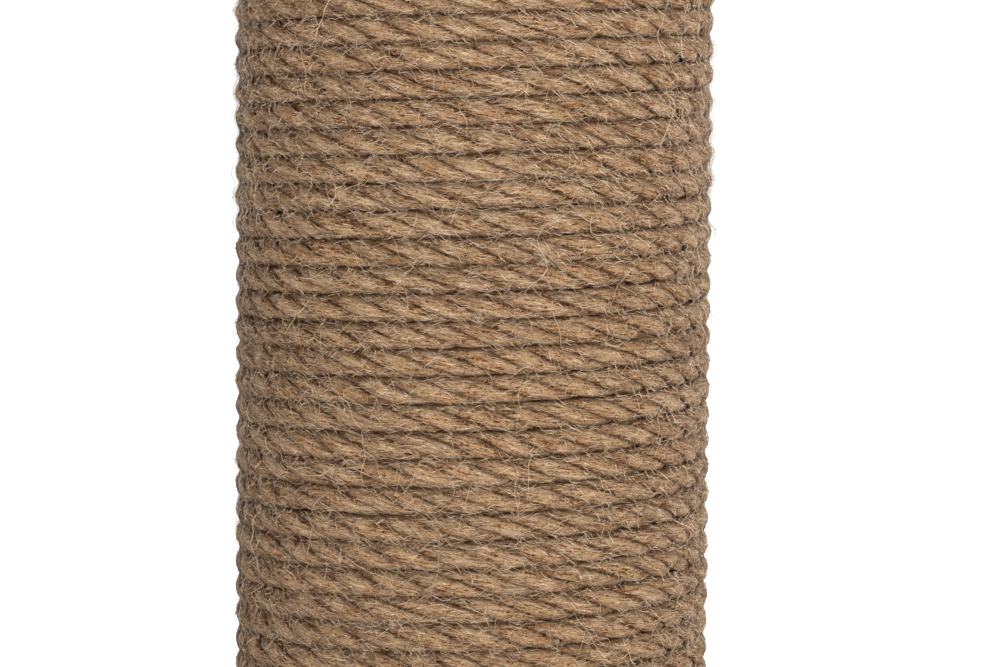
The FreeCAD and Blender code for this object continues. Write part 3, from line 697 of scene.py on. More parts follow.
@dataclass
class LaidRope:
    """Three strands laid together, swept along the route as one lobed skin."""

    route: RopeRoute
    lay_length: float = 24.5
    strands: int = 3
    spread_deg: tuple[float, ...] = (-60, -57, -50.5, -41.5, -31, -20, -10, 0, 10, 20, 31, 41.5, 50.5, 57)
    ring_step: float = 1.15
    flattening: float = 1.04
    press: float = 0.3
    press_curve: float = 2.4
    slit: float = 0.6
    slit_start: float = 0.82
    slit_openness: float = 0.8
    slit_shade: float = 0.95
    groove_start: float = 2.05
    groove_shade: float = 0.95
    shade_curve: float = 1.5
    crest_middle: float = 0.6
    relief: float = 0.17
    bundles: Marks = Marks(5.0, 0.55)
    bundle_share: float = 0.6
    yarns: Marks = Marks(3.0, 0.27)
    yarn_lanes: int = 50
    fibre_slant: float = 0.7
    uneven_lay: Unevenness = Unevenness(0.75, 19.0, Noise.LAY)
    swell: Unevenness = Unevenness(0.12, 11.0, Noise.SWELL, 7.0)
    slow_swell: Unevenness = Unevenness(0.03, 36.0, Noise.SLOW_SWELL)
    uneven_slits: Unevenness = Unevenness(0.6, 5.0, Noise.SLITS, 9.0)
    strand_shift: float = 37.0
    row_length: float = 266.0
    row_margin: float = 0.04
    pieces_per_winding: int = 3
    windings: tuple[str, ...] = ("rope_winding_lower", "rope_winding_middle", "rope_winding_upper")

    def build(self, material: bpy.types.Material) -> list[bpy.types.Object]:
        """Make the rope, in lengths that follow each other with no space between them.

        Args:
            material: The rope's finish.

        Returns:
            The pieces, from the bottom up.
        """
        made = []
        turns_each = self.route.turns / len(self.windings) / self.pieces_per_winding
        for index in range(len(self.windings) * self.pieces_per_winding):
            winding = self.windings[index // self.pieces_per_winding]
            name = winding.replace("winding", "strands") + f"_{index % self.pieces_per_winding + 1}"
            piece = self.length_of_rope(name, index * turns_each, (index + 1) * turns_each)
            settle(piece, Slot.JUTE_ROPE, material, winding)
            made.append(piece)
        return made

    def section(self) -> tuple[np.ndarray, np.ndarray, np.ndarray]:
        """Outline of the rope cut across, before it is turned by the lay.

        Returns:
            Angle and radius of each outline point, and its angle from the middle of its strand.
        """
        step = 2 * math.pi / self.strands
        local = np.radians(self.spread_deg)
        from_crest = np.abs(local) / (step / 2)
        radius = self.route.thickness / 2 * (1 - self.press * from_crest**self.press_curve)
        angles = [local + strand * step for strand in range(self.strands)]
        return np.concatenate(angles), np.tile(radius, self.strands), np.tile(local, self.strands)

    def length_of_rope(self, name: str, first_turn: float, last_turn: float) -> bpy.types.Object:
        """One length of the rope as a closed mesh.

        Args:
            name: Name of the piece.
            first_turn: Turn at which it starts.
            last_turn: Turn at which it ends.

        Returns:
            The mesh object with its two maps.
        """
        turn_length = self.route.length / self.route.turns
        rings_per_turn = round(turn_length / self.ring_step)
        rings = round((last_turn - first_turn) * rings_per_turn) + 1
        turn = first_turn + np.arange(rings) / rings_per_turn
        run = turn * turn_length
        middle, _, outward, across = self.route.frames(turn)
        angle, radius, local = self.section()
        strand = np.repeat(np.arange(self.strands), len(self.spread_deg))[None, :]
        openness = self.openness(run, local, strand)
        swollen = self.swollen(run, radius, strand)
        reach = swollen + self.yarn_relief(run, local, strand) - self.slit * openness
        turned = angle[None, :] + (2 * math.pi * run / self.lay_length + self.uneven_lay.along(run))[:, None]
        aloft = self.flattening * reach * np.sin(turned)
        out_part = (reach * np.cos(turned))[:, :, None] * outward[:, None, :]
        points = (middle[:, None, :] + out_part + aloft[:, :, None] * across[:, None, :]).reshape(-1, 3)
        points = np.concatenate([points, middle[:1], middle[-1:]])
        piece = mesh_piece(name, points, *tube_faces(rings, len(angle)))
        self.map_surface(piece, run, strand.ravel())
        # Painted shade: the groove between turns and the open slits between strands are darkened in the
        # colour.
        groove = (np.abs(aloft) - self.groove_start) / (self.route.pitch / 2 - self.groove_start)
        shade = self.groove_shade * np.clip(groove, 0, 1) ** self.shade_curve
        ends = [0.0, 0.0]
        painted_shade = np.maximum(self.slit_shade * openness, shade)
        point_values(piece, "gap_shade", np.concatenate([painted_shade.ravel(), ends]))
        # Painted highlight: a value that lightens the colour on each strand's crown.
        height = np.repeat(self.crown(local) - self.crest_middle, rings, axis=0)
        point_values(piece, "crest", np.concatenate([height.ravel(), ends]))
        return piece

    def openness(self, run: np.ndarray, local: np.ndarray, strand: np.ndarray) -> np.ndarray:
        """How far the slit between two strands stands open.

        Args:
            run: Millimetres along the rope at each outline.
            local: Angle of each outline point from the middle of its strand.
            strand: Number of its strand.

        Returns:
            A value from 0 to 1 for each outline and point.
        """
        from_middle = np.abs(local)[None, :] * self.strands / math.pi
        in_slit = np.clip((from_middle - self.slit_start) / (1 - self.slit_start), 0, 1) ** self.shade_curve
        uneven = self.slit_openness + self.uneven_slits.along(run[:, None], strand)
        return np.clip(uneven, 0, 1) * in_slit

    def swollen(self, run: np.ndarray, radius: np.ndarray, strand: np.ndarray) -> np.ndarray:
        """Radius of the outline where strands swell and go slack.

        Args:
            run: Millimetres along the rope at each outline.
            radius: Even radius of each outline point.
            strand: Number of its strand.

        Returns:
            The radius for each outline and point.
        """
        swell = 1 + self.swell.along(run[:, None], strand)
        return radius[None, :] * (swell + self.slow_swell.along(run[:, None]))

    def yarn_relief(self, run: np.ndarray, local: np.ndarray, strand: np.ndarray) -> np.ndarray:
        """Relief of the bundles of yarn on a strand, which fades towards its slits.

        Args:
            run: Millimetres along the rope at each outline.
            local: Angle of each outline point from the middle of its strand.
            strand: Number of its strand.

        Returns:
            The relief in millimetres for each outline and point.
        """
        run = run[:, None]
        fibre = (local * self.route.thickness / 2)[None, :] + run * self.shear()
        lanes = strand * self.yarn_lanes
        bundles = value_noise(run / self.bundles.length, fibre / self.bundles.width + lanes, Noise.BUNDLES)
        yarns = value_noise(run / self.yarns.length, fibre / self.yarns.width + lanes, Noise.YARNS)
        mixed = self.bundle_share * bundles + (1 - self.bundle_share) * yarns
        return self.relief * self.crown(local) * mixed

    def crown(self, local: np.ndarray) -> np.ndarray:
        """How near each outline point is to the crown of its strand, as one row from 0 to 1."""
        return np.cos(self.strands / 2 * local)[None, :]

    def shear(self) -> float:
        """How far the fibres run back across a strand for each millimetre of rope."""
        return self.fibre_slant * math.pi * self.route.thickness / self.lay_length

    def map_surface(self, piece: bpy.types.Object, run: np.ndarray, strand: np.ndarray) -> None:
        """Give a length of rope its fibre map and its flat map in rows of one turn.

        Args:
            piece: The mesh object.
            run: Millimetres along the rope at each outline.
            strand: Number of the strand of each point in an outline.
        """
        rings, count = len(run), len(strand)
        ring, column = np.meshgrid(np.arange(rings - 1), np.arange(count), indexing="ij")
        ring_corner = np.stack([ring, ring + 1, ring + 1, ring], axis=2)
        column_corner = np.stack([column, column, column + 1, column + 1], axis=2)
        strand_corner = strand[column][:, :, None]
        edges = np.radians([*self.spread_deg, -self.spread_deg[0]]) * self.route.thickness / 2
        across = edges[column_corner - len(self.spread_deg) * strand_corner]
        along = run[ring_corner]
        lay = np.stack([along, across + self.shear() * along + self.strand_shift * strand_corner], axis=3)
        rows = math.ceil(run[-1] / self.row_length - run[0] / self.row_length)
        rings_per_row = math.ceil((rings - 1) / rows)
        row = ring // rings_per_row
        flat_along = (ring_corner - row[:, :, None] * rings_per_row) / rings_per_row
        in_row = self.row_margin + (1 - 2 * self.row_margin) * column_corner / count
        flat = np.stack([flat_along, (row[:, :, None] + in_row) / rows], axis=3)
        ends = np.zeros((2 * count * 3, 2))
        corner_map(piece, "OFBake", np.concatenate([flat.reshape(-1, 2), ends]))
        corner_map(piece, "Lay", np.concatenate([lay.reshape(-1, 2), ends]))


@dataclass(frozen=True)
class FibreKind:
    """One kind of loose fibre on the rope, with sizes in millimetres and angles in radians."""

    name: str
    count: int
    pieces: int
    segments: int
    length: tuple[float, float]
    width: tuple[float, float]
    lift: tuple[float, float]
    heading: float
    heading_spread: float
    curl: float
    tone: tuple[float, float]
    seed: int
    cluster: int = 1
    cluster_spread: float = 0.0


DOWN = FibreKind(
    "fuzz_down", count=165000, pieces=11, segments=3, length=(1.5, 4.4), width=(0.07, 0.13),
    lift=(0.0, 0.5), heading=-0.2, heading_spread=0.42, curl=0.7, tone=(0.0, 1.0), seed=31,
)
WISPS = FibreKind(
    "fuzz_wisps", count=10000, pieces=2, segments=5, length=(3.5, 9.0), width=(0.05, 0.09),
    lift=(0.2, 1.2), heading=0.1, heading_spread=0.9, curl=1.0, tone=(0.1, 0.95), seed=32,
)
HAIRS = FibreKind(
    "fuzz_hairs", count=1100, pieces=1, segments=9, length=(8.0, 18.0), width=(0.07, 0.13),
    lift=(0.2, 1.1), heading=0.7, heading_spread=1.2, curl=1.4, tone=(0.6, 1.0), seed=33,
)
NEPS = FibreKind(
    "fuzz_neps", count=800, pieces=1, segments=6, length=(2.0, 4.5), width=(0.05, 0.09),
    lift=(0.1, 0.5), heading=0.0, heading_spread=2.0, curl=8.0, tone=(0.7, 1.0), seed=34,
    cluster=20, cluster_spread=0.6,
)


@dataclass
class RopeFuzz:
    """Loose fibres that lie over the turns and stand off them at their ends."""

    route: RopeRoute
    sides: int = 3
    kinds: tuple[FibreKind, ...] = (DOWN, WISPS, HAIRS, NEPS)
    side_reach: float = 1.3
    wave_share: float = 0.35
    waves: float = 1.5
    low_lift: tuple[float, float] = (-0.1, 0.12)
    lift_curve: float = 1.5
    bedding: float = 0.12
    groove_depth: float = 0.8
    groove_curve: float = 1.5
    taper: float = 0.5
    tone_curve: float = 0.6
    end_room: float = 0.2
    spare_places: int = 3
    patch_length: float = 22.0
    patch_height: float = 15.0
    even_share: float = 0.72
    patch_share: float = 0.3
    worn_share: float = 0.3
    full_share: float = 1.32
    worn_side_deg: float = 205.0

    def build(self, material: bpy.types.Material) -> list[bpy.types.Object]:
        """Make all the fibres.

        Args:
            material: Their finish.

        Returns:
            The pieces, each a bunch of separate closed fibres.
        """
        made = []
        for kind in self.kinds:
            draw = np.random.default_rng(kind.seed)
            for index in range(kind.pieces):
                piece = self.bunch(kind, draw, kind.count // kind.pieces, f"{kind.name}_{index + 1}")
                settle(piece, Slot.JUTE_ROPE, material)
                made.append(piece)
        return made

    def bunch(self, kind: FibreKind, draw: np.random.Generator, count: int, name: str) -> bpy.types.Object:
        """One piece of many fibres.

        Args:
            kind: What the fibres are like.
            draw: Source of random numbers.
            count: How many fibres.
            name: Name of the piece.

        Returns:
            The mesh object.
        """
        share = np.linspace(-0.5, 0.5, kind.segments + 1)[None, :]
        angle, level = self.lines(kind, draw, count // kind.cluster, share)
        fibres = len(angle)
        from_turn = (level - self.route.turn_level(angle)) / self.route.pitch
        groove = (0.5 - 0.5 * np.cos(2 * math.pi * from_turn)) ** self.groove_curve
        seat = self.route.crest - self.bedding - self.groove_depth * groove
        radius = seat + self.lift(kind, draw, fibres, share)
        points = np.stack([radius * np.cos(angle), radius * np.sin(angle), level], axis=2)
        taper = 1 - self.taper * (2 * np.abs(share)) ** 3
        width = draw.uniform(*kind.width, fibres)[:, None] / 2 * taper
        lot = draw.uniform(-1, 1, fibres)
        middle_tone, reach = sum(kind.tone) / 2, (kind.tone[1] - kind.tone[0]) / 2
        tone = middle_tone + reach * np.sign(lot) * np.abs(lot) ** self.tone_curve
        return self.prisms(name, points, width, tone)

    def lines(
        self, kind: FibreKind, draw: np.random.Generator, clusters: int, share: np.ndarray
    ) -> tuple[np.ndarray, np.ndarray]:
        """Lay the fibres' lines over the turns.

        Args:
            kind: What the fibres are like.
            draw: Source of random numbers.
            clusters: How many places have fibres.
            share: Places along a fibre, from -0.5 to 0.5.

        Returns:
            Angle round the column and level of each fibre's points.
        """
        count = clusters * kind.cluster
        middle, _, _, _ = self.route.frames(self.places(draw, clusters))
        middle = np.repeat(middle, kind.cluster, axis=0)
        side = np.repeat(draw.uniform(-self.side_reach, self.side_reach, clusters), kind.cluster)
        stray_round = draw.normal(0, kind.cluster_spread, count) / self.route.crest
        stray_up = draw.normal(0, kind.cluster_spread, count)
        start_angle = np.arctan2(middle[:, 1], middle[:, 0]) + stray_round
        start_level = middle[:, 2] + self.route.pitch * 0.5 * np.sin(side) + stray_up
        length = draw.uniform(*kind.length, count)
        heading = draw.normal(kind.heading, kind.heading_spread, count)[:, None]
        bend = draw.normal(0, kind.curl, count)[:, None]
        wave = draw.normal(0, self.wave_share * kind.curl, count)[:, None]
        direction = heading + bend * share + wave * np.sin(2 * math.pi * share * self.waves)
        step = (length / kind.segments)[:, None]
        ahead = np.cumsum(np.cos(direction) * step, axis=1)
        aloft = np.cumsum(np.sin(direction) * step, axis=1)
        ahead -= ahead.mean(axis=1, keepdims=True)
        aloft -= aloft.mean(axis=1, keepdims=True)
        level = np.clip(start_level[:, None] + aloft, *self.route.reach())
        return start_angle[:, None] + ahead / self.route.crest, level

    def lift(self, kind: FibreKind, draw: np.random.Generator, count: int, share: np.ndarray) -> np.ndarray:
        """How far the fibres stand off the rope: at one end, or in an arch, or a little of both.

        Args:
            kind: What the fibres are like.
            draw: Source of random numbers.
            count: How many fibres.
            share: Places along a fibre, from -0.5 to 0.5.

        Returns:
            Millimetres at each point of each fibre.
        """
        low = draw.uniform(*self.low_lift, count)[:, None]
        high = draw.uniform(*kind.lift, count)[:, None] ** self.lift_curve
        lean = draw.uniform(-1, 1, count)[:, None]
        free_end = np.clip(0.5 + share * np.sign(lean), 0, 1) ** 2
        arch = (1 - np.abs(lean)) * (1 - 4 * share**2)
        return low + (high - low) * (free_end * np.abs(lean) + arch)

    def places(self, draw: np.random.Generator, count: int) -> np.ndarray:
        """Turns at which fibres stand: in loose patches, and thicker on the side at the front's left.

        Args:
            draw: Source of random numbers.
            count: How many places.

        Returns:
            Turns from the lower end.
        """
        tries = self.spare_places * count
        turn = draw.uniform(self.end_room, self.route.turns - self.end_room, tries)
        angle = 2 * math.pi * (turn % 1) + START_ANGLE
        around = angle * self.route.radius / self.patch_length
        patch = value_noise(around, turn * self.route.pitch / self.patch_height, Noise.PATCHES)
        worn = np.clip(np.cos(angle - math.radians(self.worn_side_deg)), 0, 1)
        share = self.even_share + self.patch_share * patch + self.worn_share * worn
        return turn[draw.uniform(0, self.full_share, tries) < share][:count]

    def prisms(self, name: str, points: np.ndarray, radius: np.ndarray, tone: np.ndarray) -> bpy.types.Object:
        """Thin closed prisms along many lines, pointed at both ends.

        Args:
            name: Name of the piece.
            points: Points of each line, as an array of lines by points by three.
            radius: Radius at each point of each line.
            tone: How pale each line is, from 0 to 1.

        Returns:
            The mesh object.
        """
        lines, stops, _ = points.shape
        along = np.gradient(points, axis=1)
        along /= np.linalg.norm(along, axis=2, keepdims=True)
        outward = points * np.array([1, 1, 0])
        outward /= np.linalg.norm(outward, axis=2, keepdims=True)
        side = np.cross(along, outward)
        side /= np.maximum(np.linalg.norm(side, axis=2, keepdims=True), TINY)
        up = np.cross(side, along)
        turn = 2 * math.pi * np.arange(self.sides) / self.sides
        ring = np.cos(turn)[:, None] * side[:, :, None, :] + np.sin(turn)[:, None] * up[:, :, None, :]
        rings = points[:, :, None, :] + ring * np.broadcast_to(radius, (lines, stops))[:, :, None, None]
        inner = rings[:, 1:-1].reshape(lines, -1, 3)
        each = inner.shape[1] + 2
        mesh_points = np.concatenate([inner, points[:, :1], points[:, -1:]], axis=1)
        base = (np.arange(lines) * each)[:, None, None]
        level = (np.arange(stops - 3) * self.sides)[None, :, None]
        corner = np.arange(self.sides)[None, None, :]
        after = (corner + 1) % self.sides
        low, high = base + level, base + level + self.sides
        quads = np.stack([low + corner, low + after, high + after, high + corner], axis=3).reshape(-1, 4)
        foot, tip = base + each - 2, base + each - 1
        last = base + (stops - 3) * self.sides
        start = np.stack(np.broadcast_arrays(foot, base + after, base + corner), axis=3).reshape(-1, 3)
        end = np.stack(np.broadcast_arrays(tip, last + corner, last + after), axis=3).reshape(-1, 3)
        piece = mesh_piece(name, mesh_points.reshape(-1, 3), quads, np.concatenate([start, end]))
        point_values(piece, "tone", np.repeat(tone, each))
        return piece


# -------------------------------------------------------------- soft covers


# Tells from places and outward directions, in millimetres, where tufts of pile stand.
Keep = Callable[[np.ndarray, np.ndarray], np.ndarray]


@dataclass
class Pile:
    """Short tufts of pile, stood on a skin and combed one way."""

    spacing: float = 2.0
    height: tuple[float, float] = (1.4, 2.4)
    width: float = 0.75
    root_depth: float = 0.3
    lean: float = 0.35
    nap: tuple[float, float, float] = (0.35, -1.0, 0.0)
    stray: float = 0.22
    askew: tuple[float, float, float] = (0.31, 0.52, 0.79)
    # Share of a tuft's tone that is painted shade, dark at its root and pale at its tip.
    root_to_tip_shade: float = 0.45
    seed: int = 51

    def build(self, name: str, skin: bpy.types.Object, keep: Keep) -> bpy.types.Object:
        """Stand tufts on a skin.

        Args:
            name: Name of the piece.
            skin: The mesh object that they stand on.
            keep: Tells where tufts stand.

        Returns:
            The mesh object, each tuft a closed pyramid.
        """
        draw = np.random.default_rng(self.seed)
        skin.data.calc_loop_triangles()
        corners = np.empty(len(skin.data.loop_triangles) * 3, np.int32)
        skin.data.loop_triangles.foreach_get("vertices", corners)
        places = np.empty(len(skin.data.vertices) * 3, np.float32)
        skin.data.vertices.foreach_get("co", places)
        triangles = places.reshape(-1, 3).astype(float)[corners.reshape(-1, 3)] / MM
        sides = np.cross(triangles[:, 1] - triangles[:, 0], triangles[:, 2] - triangles[:, 0])
        areas = np.linalg.norm(sides, axis=1) / 2
        count = int(areas.sum() / self.spacing**2)
        lots = draw.uniform(0, areas.sum(), count)
        chosen = np.searchsorted(np.cumsum(areas), lots).clip(0, len(areas) - 1)
        first, second = draw.uniform(0, 1, (2, count, 1))
        flip = first + second > 1
        first, second = np.where(flip, 1 - first, first), np.where(flip, 1 - second, second)
        corner = triangles[chosen]
        roots = corner[:, 0] + first * (corner[:, 1] - corner[:, 0]) + second * (corner[:, 2] - corner[:, 0])
        outward = sides[chosen] / (2 * areas[chosen])[:, None]
        kept = keep(roots, outward)
        return self.tufts(name, roots[kept], outward[kept], draw)

    def tufts(
        self, name: str, roots: np.ndarray, outward: np.ndarray, draw: np.random.Generator
    ) -> bpy.types.Object:
        """Make the tufts' pyramids.

        Args:
            name: Name of the piece.
            roots: Where they stand.
            outward: Unit vectors away from the skin.
            draw: Source of random numbers.

        Returns:
            The mesh object.
        """
        count = len(roots)
        nap = self.lean * np.array(self.nap) + draw.normal(0, self.stray, (count, 3))
        rise = outward + nap - outward * (nap * outward).sum(axis=1, keepdims=True)
        rise /= np.linalg.norm(rise, axis=1, keepdims=True)
        height = draw.uniform(*self.height, count)[:, None]
        aside = np.cross(outward, np.array(self.askew))
        aside /= np.linalg.norm(aside, axis=1, keepdims=True)
        other = np.cross(outward, aside)
        spin = draw.uniform(0, 2 * math.pi, count)[:, None]
        sunk = roots - self.root_depth * outward
        feet = [
            sunk + self.width * (np.cos(spin + turn) * aside + np.sin(spin + turn) * other)
            for turn in (0, 2 * math.pi / 3, 4 * math.pi / 3)
        ]
        points = np.stack([*feet, roots + height * rise], axis=1).reshape(-1, 3)
        base = (np.arange(count) * 4)[:, None]
        pyramid = ((0, 1, 3), (1, 2, 3), (2, 0, 3), (2, 1, 0))
        faces = np.concatenate([base + np.array(face) for face in pyramid])
        piece = mesh_piece(name, points, np.zeros((0, 4), np.int32), faces)
        # Tone of each tuft: a random share, and painted shade from its dark root to its pale tip.
        shade = np.repeat(draw.uniform(0, 1, count), 4)
        tips = np.tile([0.0, 0.0, 0.0, 1.0], count)
        point_values(piece, "tone", (1 - self.root_to_tip_shade) * shade + self.root_to_tip_shade * tips)
        return piece


# Share of its full size at which the innermost ring of a cover's flat stands.
MIDDLE_SHARE = 0.004


@dataclass
class BaseCover:
    """Plush drawn over the square board and turned under its edge."""

    thickness: float = 2.2
    hem_thickness: float = 1.4
    hem_width: float = 22.0
    hem_places: tuple[float, float] = (8.0, 15.0)
    lining_place: float = 12.0
    corner: float = 33.0
    edge: float = 4.5
    flat_margin: float = 2.0
    side_wave: float = 0.15
    wave_step: float = 2.1
    side_top: float = 6.0
    side_foot: float = 3.0
    fold: float = 2.5
    floor_gap: float = 0.1
    hem_ease: float = 0.5
    lining_ease: float = 0.6
    pile_room: float = 1.0
    pile_lowest: float = 2.0
    around: int = 256

    def build(self, material: bpy.types.Material) -> list[bpy.types.Object]:
        """Make the cloth and its pile.

        Args:
            material: The plush.

        Returns:
            The cloth and the pile.
        """
        low, high = (np.array(corner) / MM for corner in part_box("base_cover"))
        half = high[0] - self.pile_room
        top = high[2] - self.pile_room
        under = low[2] + self.floor_gap
        cloth = ring_shell("base_plush", self.outer(half, top, under) + self.lining(half, top, under))
        settle(cloth, Slot.PLUSH_COVER, material, "base_cover")
        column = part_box("rope_winding_lower")[1].x / MM

        def keep(places: np.ndarray, outward: np.ndarray) -> np.ndarray:
            """Outer skin only, clear of the column and of the floor."""
            beyond = np.hypot(places[:, 0], places[:, 1]) > column - 1
            upper = (outward[:, 2] > 0.5) & (places[:, 2] > top - self.edge - 1)
            level = (outward[:, 2] > -0.3) & (places[:, 2] > under + self.pile_lowest)
            return beyond & (upper | (level & self.outside(places, half - 1.2)))

        pile = Pile().build("base_pile", cloth, keep)
        settle(pile, Slot.PLUSH_COVER, material)
        return [cloth, pile]

    def outer(self, half: float, top: float, under: float) -> list[np.ndarray]:
        """Rings of the cloth's outer side, from the middle of its top to the hem's edge.

        Args:
            half: Half the cover's width.
            top: Level of its top.
            under: Level of its hem's underside.

        Returns:
            The rings.
        """
        shares = np.linspace(MIDDLE_SHARE, 1, 40)
        rings = [self.ring(share * (half - self.edge - self.flat_margin), top) for share in shares]
        for angle in np.linspace(0.5, 0, 9) * math.pi:
            inset = self.edge * (1 - math.cos(angle))
            rings.append(self.ring(half - inset, top - self.edge * (1 - math.sin(angle))))
        levels = np.linspace(top - self.side_top, under + self.side_foot, 6)
        for step, level in enumerate(levels):
            rings.append(self.ring(half + self.side_wave * math.sin(step * self.wave_step), level))
        for angle in np.linspace(0, -0.5, 7) * math.pi:
            inset = self.fold * (1 - math.cos(angle))
            rings.append(self.ring(half - inset, under + self.fold * (1 + math.sin(angle))))
        hem = half - self.hem_width
        places = [half - place for place in self.hem_places]
        return rings + [self.ring(place, under) for place in (*places, hem + self.hem_ease)]

    def lining(self, half: float, top: float, under: float) -> list[np.ndarray]:
        """Rings from the hem's edge back along the cloth's inner side, to the middle of its top.

        Args:
            half: Half the cover's width.
            top: Level of its top.
            under: Level of its hem's underside.

        Returns:
            The rings.
        """
        hem, inner = half - self.hem_width, half - self.thickness
        above, below = under + self.hem_thickness, top - self.thickness
        rings = [self.ring(hem, level) for level in (under + 0.4, above - 0.3)]
        places = (hem + self.hem_ease, half - self.lining_place, inner - self.hem_ease)
        rings += [self.ring(place, above) for place in places]
        rings += [self.ring(inner, level) for level in (above + self.lining_ease, below - self.lining_ease)]
        shares = np.linspace(1, MIDDLE_SHARE, 8)
        return rings + [self.ring(share * (inner - self.lining_ease), below) for share in shares]

    def outside(self, places: np.ndarray, half: float) -> np.ndarray:
        """Whether places lie outside a rounded square.

        Args:
            places: Points in millimetres.
            half: Half the square's side.

        Returns:
            True for each point outside it.
        """
        inner = half - self.corner
        beyond = np.maximum(np.abs(places[:, :2]) - inner, 0)
        return np.hypot(beyond[:, 0], beyond[:, 1]) > self.corner

    def ring(self, half: float, level: float) -> np.ndarray:
        """Points round a rounded square.

        Args:
            half: Half its side.
            level: Its height.

        Returns:
            Rows of points, anticlockwise from above.
        """
        corner = min(self.corner, half)
        straight = half - corner
        length = 8 * straight + 2 * math.pi * corner
        place = np.arange(self.around) / self.around * length
        quarter = length / 4
        turn = np.floor(place / quarter)
        rest = place - turn * quarter
        bend = math.pi / 2 * corner
        angle = np.clip((rest - 2 * straight) / max(bend, TINY), 0, 1) * math.pi / 2
        along = np.minimum(rest, 2 * straight) - straight
        across_x = half - corner + corner * np.cos(angle)
        across_y = along + corner * np.sin(angle)
        heading = turn * math.pi / 2
        x = across_x * np.cos(heading) - across_y * np.sin(heading)
        y = across_x * np.sin(heading) + across_y * np.cos(heading)
        return np.stack([x, y, 0 * x + level], axis=1)


@dataclass
class CapCushion:
    """Round cap: a crowned foam pad on its board, in plush that is drawn under and stapled."""

    pile_room: float = 1.2
    pile_lowest: float = 2.2
    cloth_thickness: float = 2.0
    floor_gap: float = 0.1
    hem_reach: float = 3.5
    hem_thickness: float = 1.3
    rim_height: float = 4.0
    rim_drops: tuple[float, ...] = (4.6, 3.4, 2.4, 1.5, 0.8, 0.3, 0.05)
    crown_curve: float = 2.2
    side_wave: float = 0.2
    wave_pace: float = 0.9
    fold: float = 3.0
    pad_inset: float = 0.2
    pad_rim: float = 4.6
    pad_drops: tuple[float, ...] = (1.8, 0.8, 0.2)
    around: int = 180
    pleats: int = 34
    pleat_height: float = 0.5
    pleat_start: float = 0.3
    pressure: float = 4.0
    frames: int = 20
    swell_limit: float = 2.2
    swell_share: float = 0.5
    pad_fill: float = 0.9
    cloth_fill: float = 0.85

    def build(self, plush: bpy.types.Material, foam: bpy.types.Material) -> list[bpy.types.Object]:
        """Make the foam pad, the cloth and its pile.

        Args:
            plush: Finish of the cloth.
            foam: Finish of the pad.

        Returns:
            The pieces.
        """
        cover_low, cover_high = (np.array(corner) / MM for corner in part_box("cap_cover"))
        pad_low, pad_high = (np.array(corner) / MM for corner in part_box("cap_foam"))
        pad = self.foam_pad(pad_low, pad_high)
        settle(pad, Slot.FOAM, foam, "cap_foam")
        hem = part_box("rope_winding_upper")[1].x / MM - self.hem_reach
        radius = cover_high[0] - self.pile_room
        under, top = cover_low[2] + self.floor_gap, cover_high[2] - self.pile_room
        cloth = ring_shell("cap_plush", self.section(radius, under, top, pad_low[2], hem))
        self.puff(cloth, pad_low[2])
        settle(cloth, Slot.PLUSH_COVER, plush, "cap_cover")

        def keep(places: np.ndarray, outward: np.ndarray) -> np.ndarray:
            """Outer skin only."""
            reach = np.hypot(places[:, 0], places[:, 1])
            crown = (outward[:, 2] > 0.3) & (places[:, 2] > pad_low[2] + self.cloth_thickness)
            rim = (reach > radius - 1.0) & (places[:, 2] > cover_low[2] + self.pile_lowest)
            return crown | rim

        pile = Pile(seed=52).build("cap_pile", cloth, keep)
        settle(pile, Slot.PLUSH_COVER, plush)
        return [pad, cloth, pile]

    def circle(self, radius: float, level: float, ripple: float = 0.0) -> np.ndarray:
        """Points round a circle, with pleats if ripple isn't zero.

        Args:
            radius: Its radius.
            level: Its height.
            ripple: How far the pleats hang down.

        Returns:
            Rows of points, anticlockwise from above.
        """
        angle = np.arange(self.around) / self.around * 2 * math.pi
        uneven = angle * self.pleats + 1.3 * np.sin(3 * angle) + 0.7 * np.sin(7 * angle + 1)
        lift = -ripple * (0.5 + 0.5 * np.sin(uneven)) ** 2
        return np.stack([radius * np.cos(angle), radius * np.sin(angle), level + lift], axis=1)

    def crown_level(self, reach: float, radius: float, rim: float, top: float) -> float:
        """Height of a crowned surface at a distance from its axis.

        Args:
            reach: Distance from the axis.
            radius: Radius of the surface.
            rim: Level of its rim.
            top: Level of its middle.

        Returns:
            The level.
        """
        return rim + (top - rim) * (1 - (reach / radius) ** self.crown_curve)

    def section(
        self, radius: float, under: float, top: float, board_top: float, hem: float
    ) -> list[np.ndarray]:
        """Rings of the cloth, from the middle of its top round under the board and back inside.

        Args:
            radius: Outer radius.
            under: Level of the hem's underside.
            top: Level of the crown's top.
            board_top: Level of the board's upper face.
            hem: Radius of the hem's inner edge.

        Returns:
            The rings.
        """
        rim = board_top + self.rim_height
        rings = []
        for reach in [*np.linspace(0.3, radius - 6, 26), *(radius - np.array(self.rim_drops))]:
            rings.append(self.circle(reach, self.crown_level(reach, radius, rim, top)))
        for level in np.linspace(rim - 1, under + 3.2, 12):
            rings.append(self.circle(radius + self.side_wave * math.sin(level * self.wave_pace), level))
        for angle in np.linspace(0, -0.5, 7)[1:] * math.pi:
            ripple = self.pleat_start * math.sin(angle) * self.pleat_height
            reach = radius - self.fold * (1 - math.cos(angle))
            rings.append(self.circle(reach, under + self.fold * (1 + math.sin(angle)), ripple))
        for share in (0.3, 0.6, 0.9, 1.0):
            reach = radius - self.fold + share * (hem - radius + self.fold)
            rings.append(self.circle(reach, under, -self.pleat_height * share))
        rings.append(self.circle(hem, under + self.hem_thickness))
        inner = radius - self.cloth_thickness
        rings += [self.circle(inner, under + 1.4), self.circle(inner, rim - 2)]
        for share in np.linspace(1, 0.01, 9):
            reach = share * (inner - 0.5)
            level = self.crown_level(reach, inner, rim - 2, top - self.cloth_thickness)
            rings.append(self.circle(reach, level))
        return rings

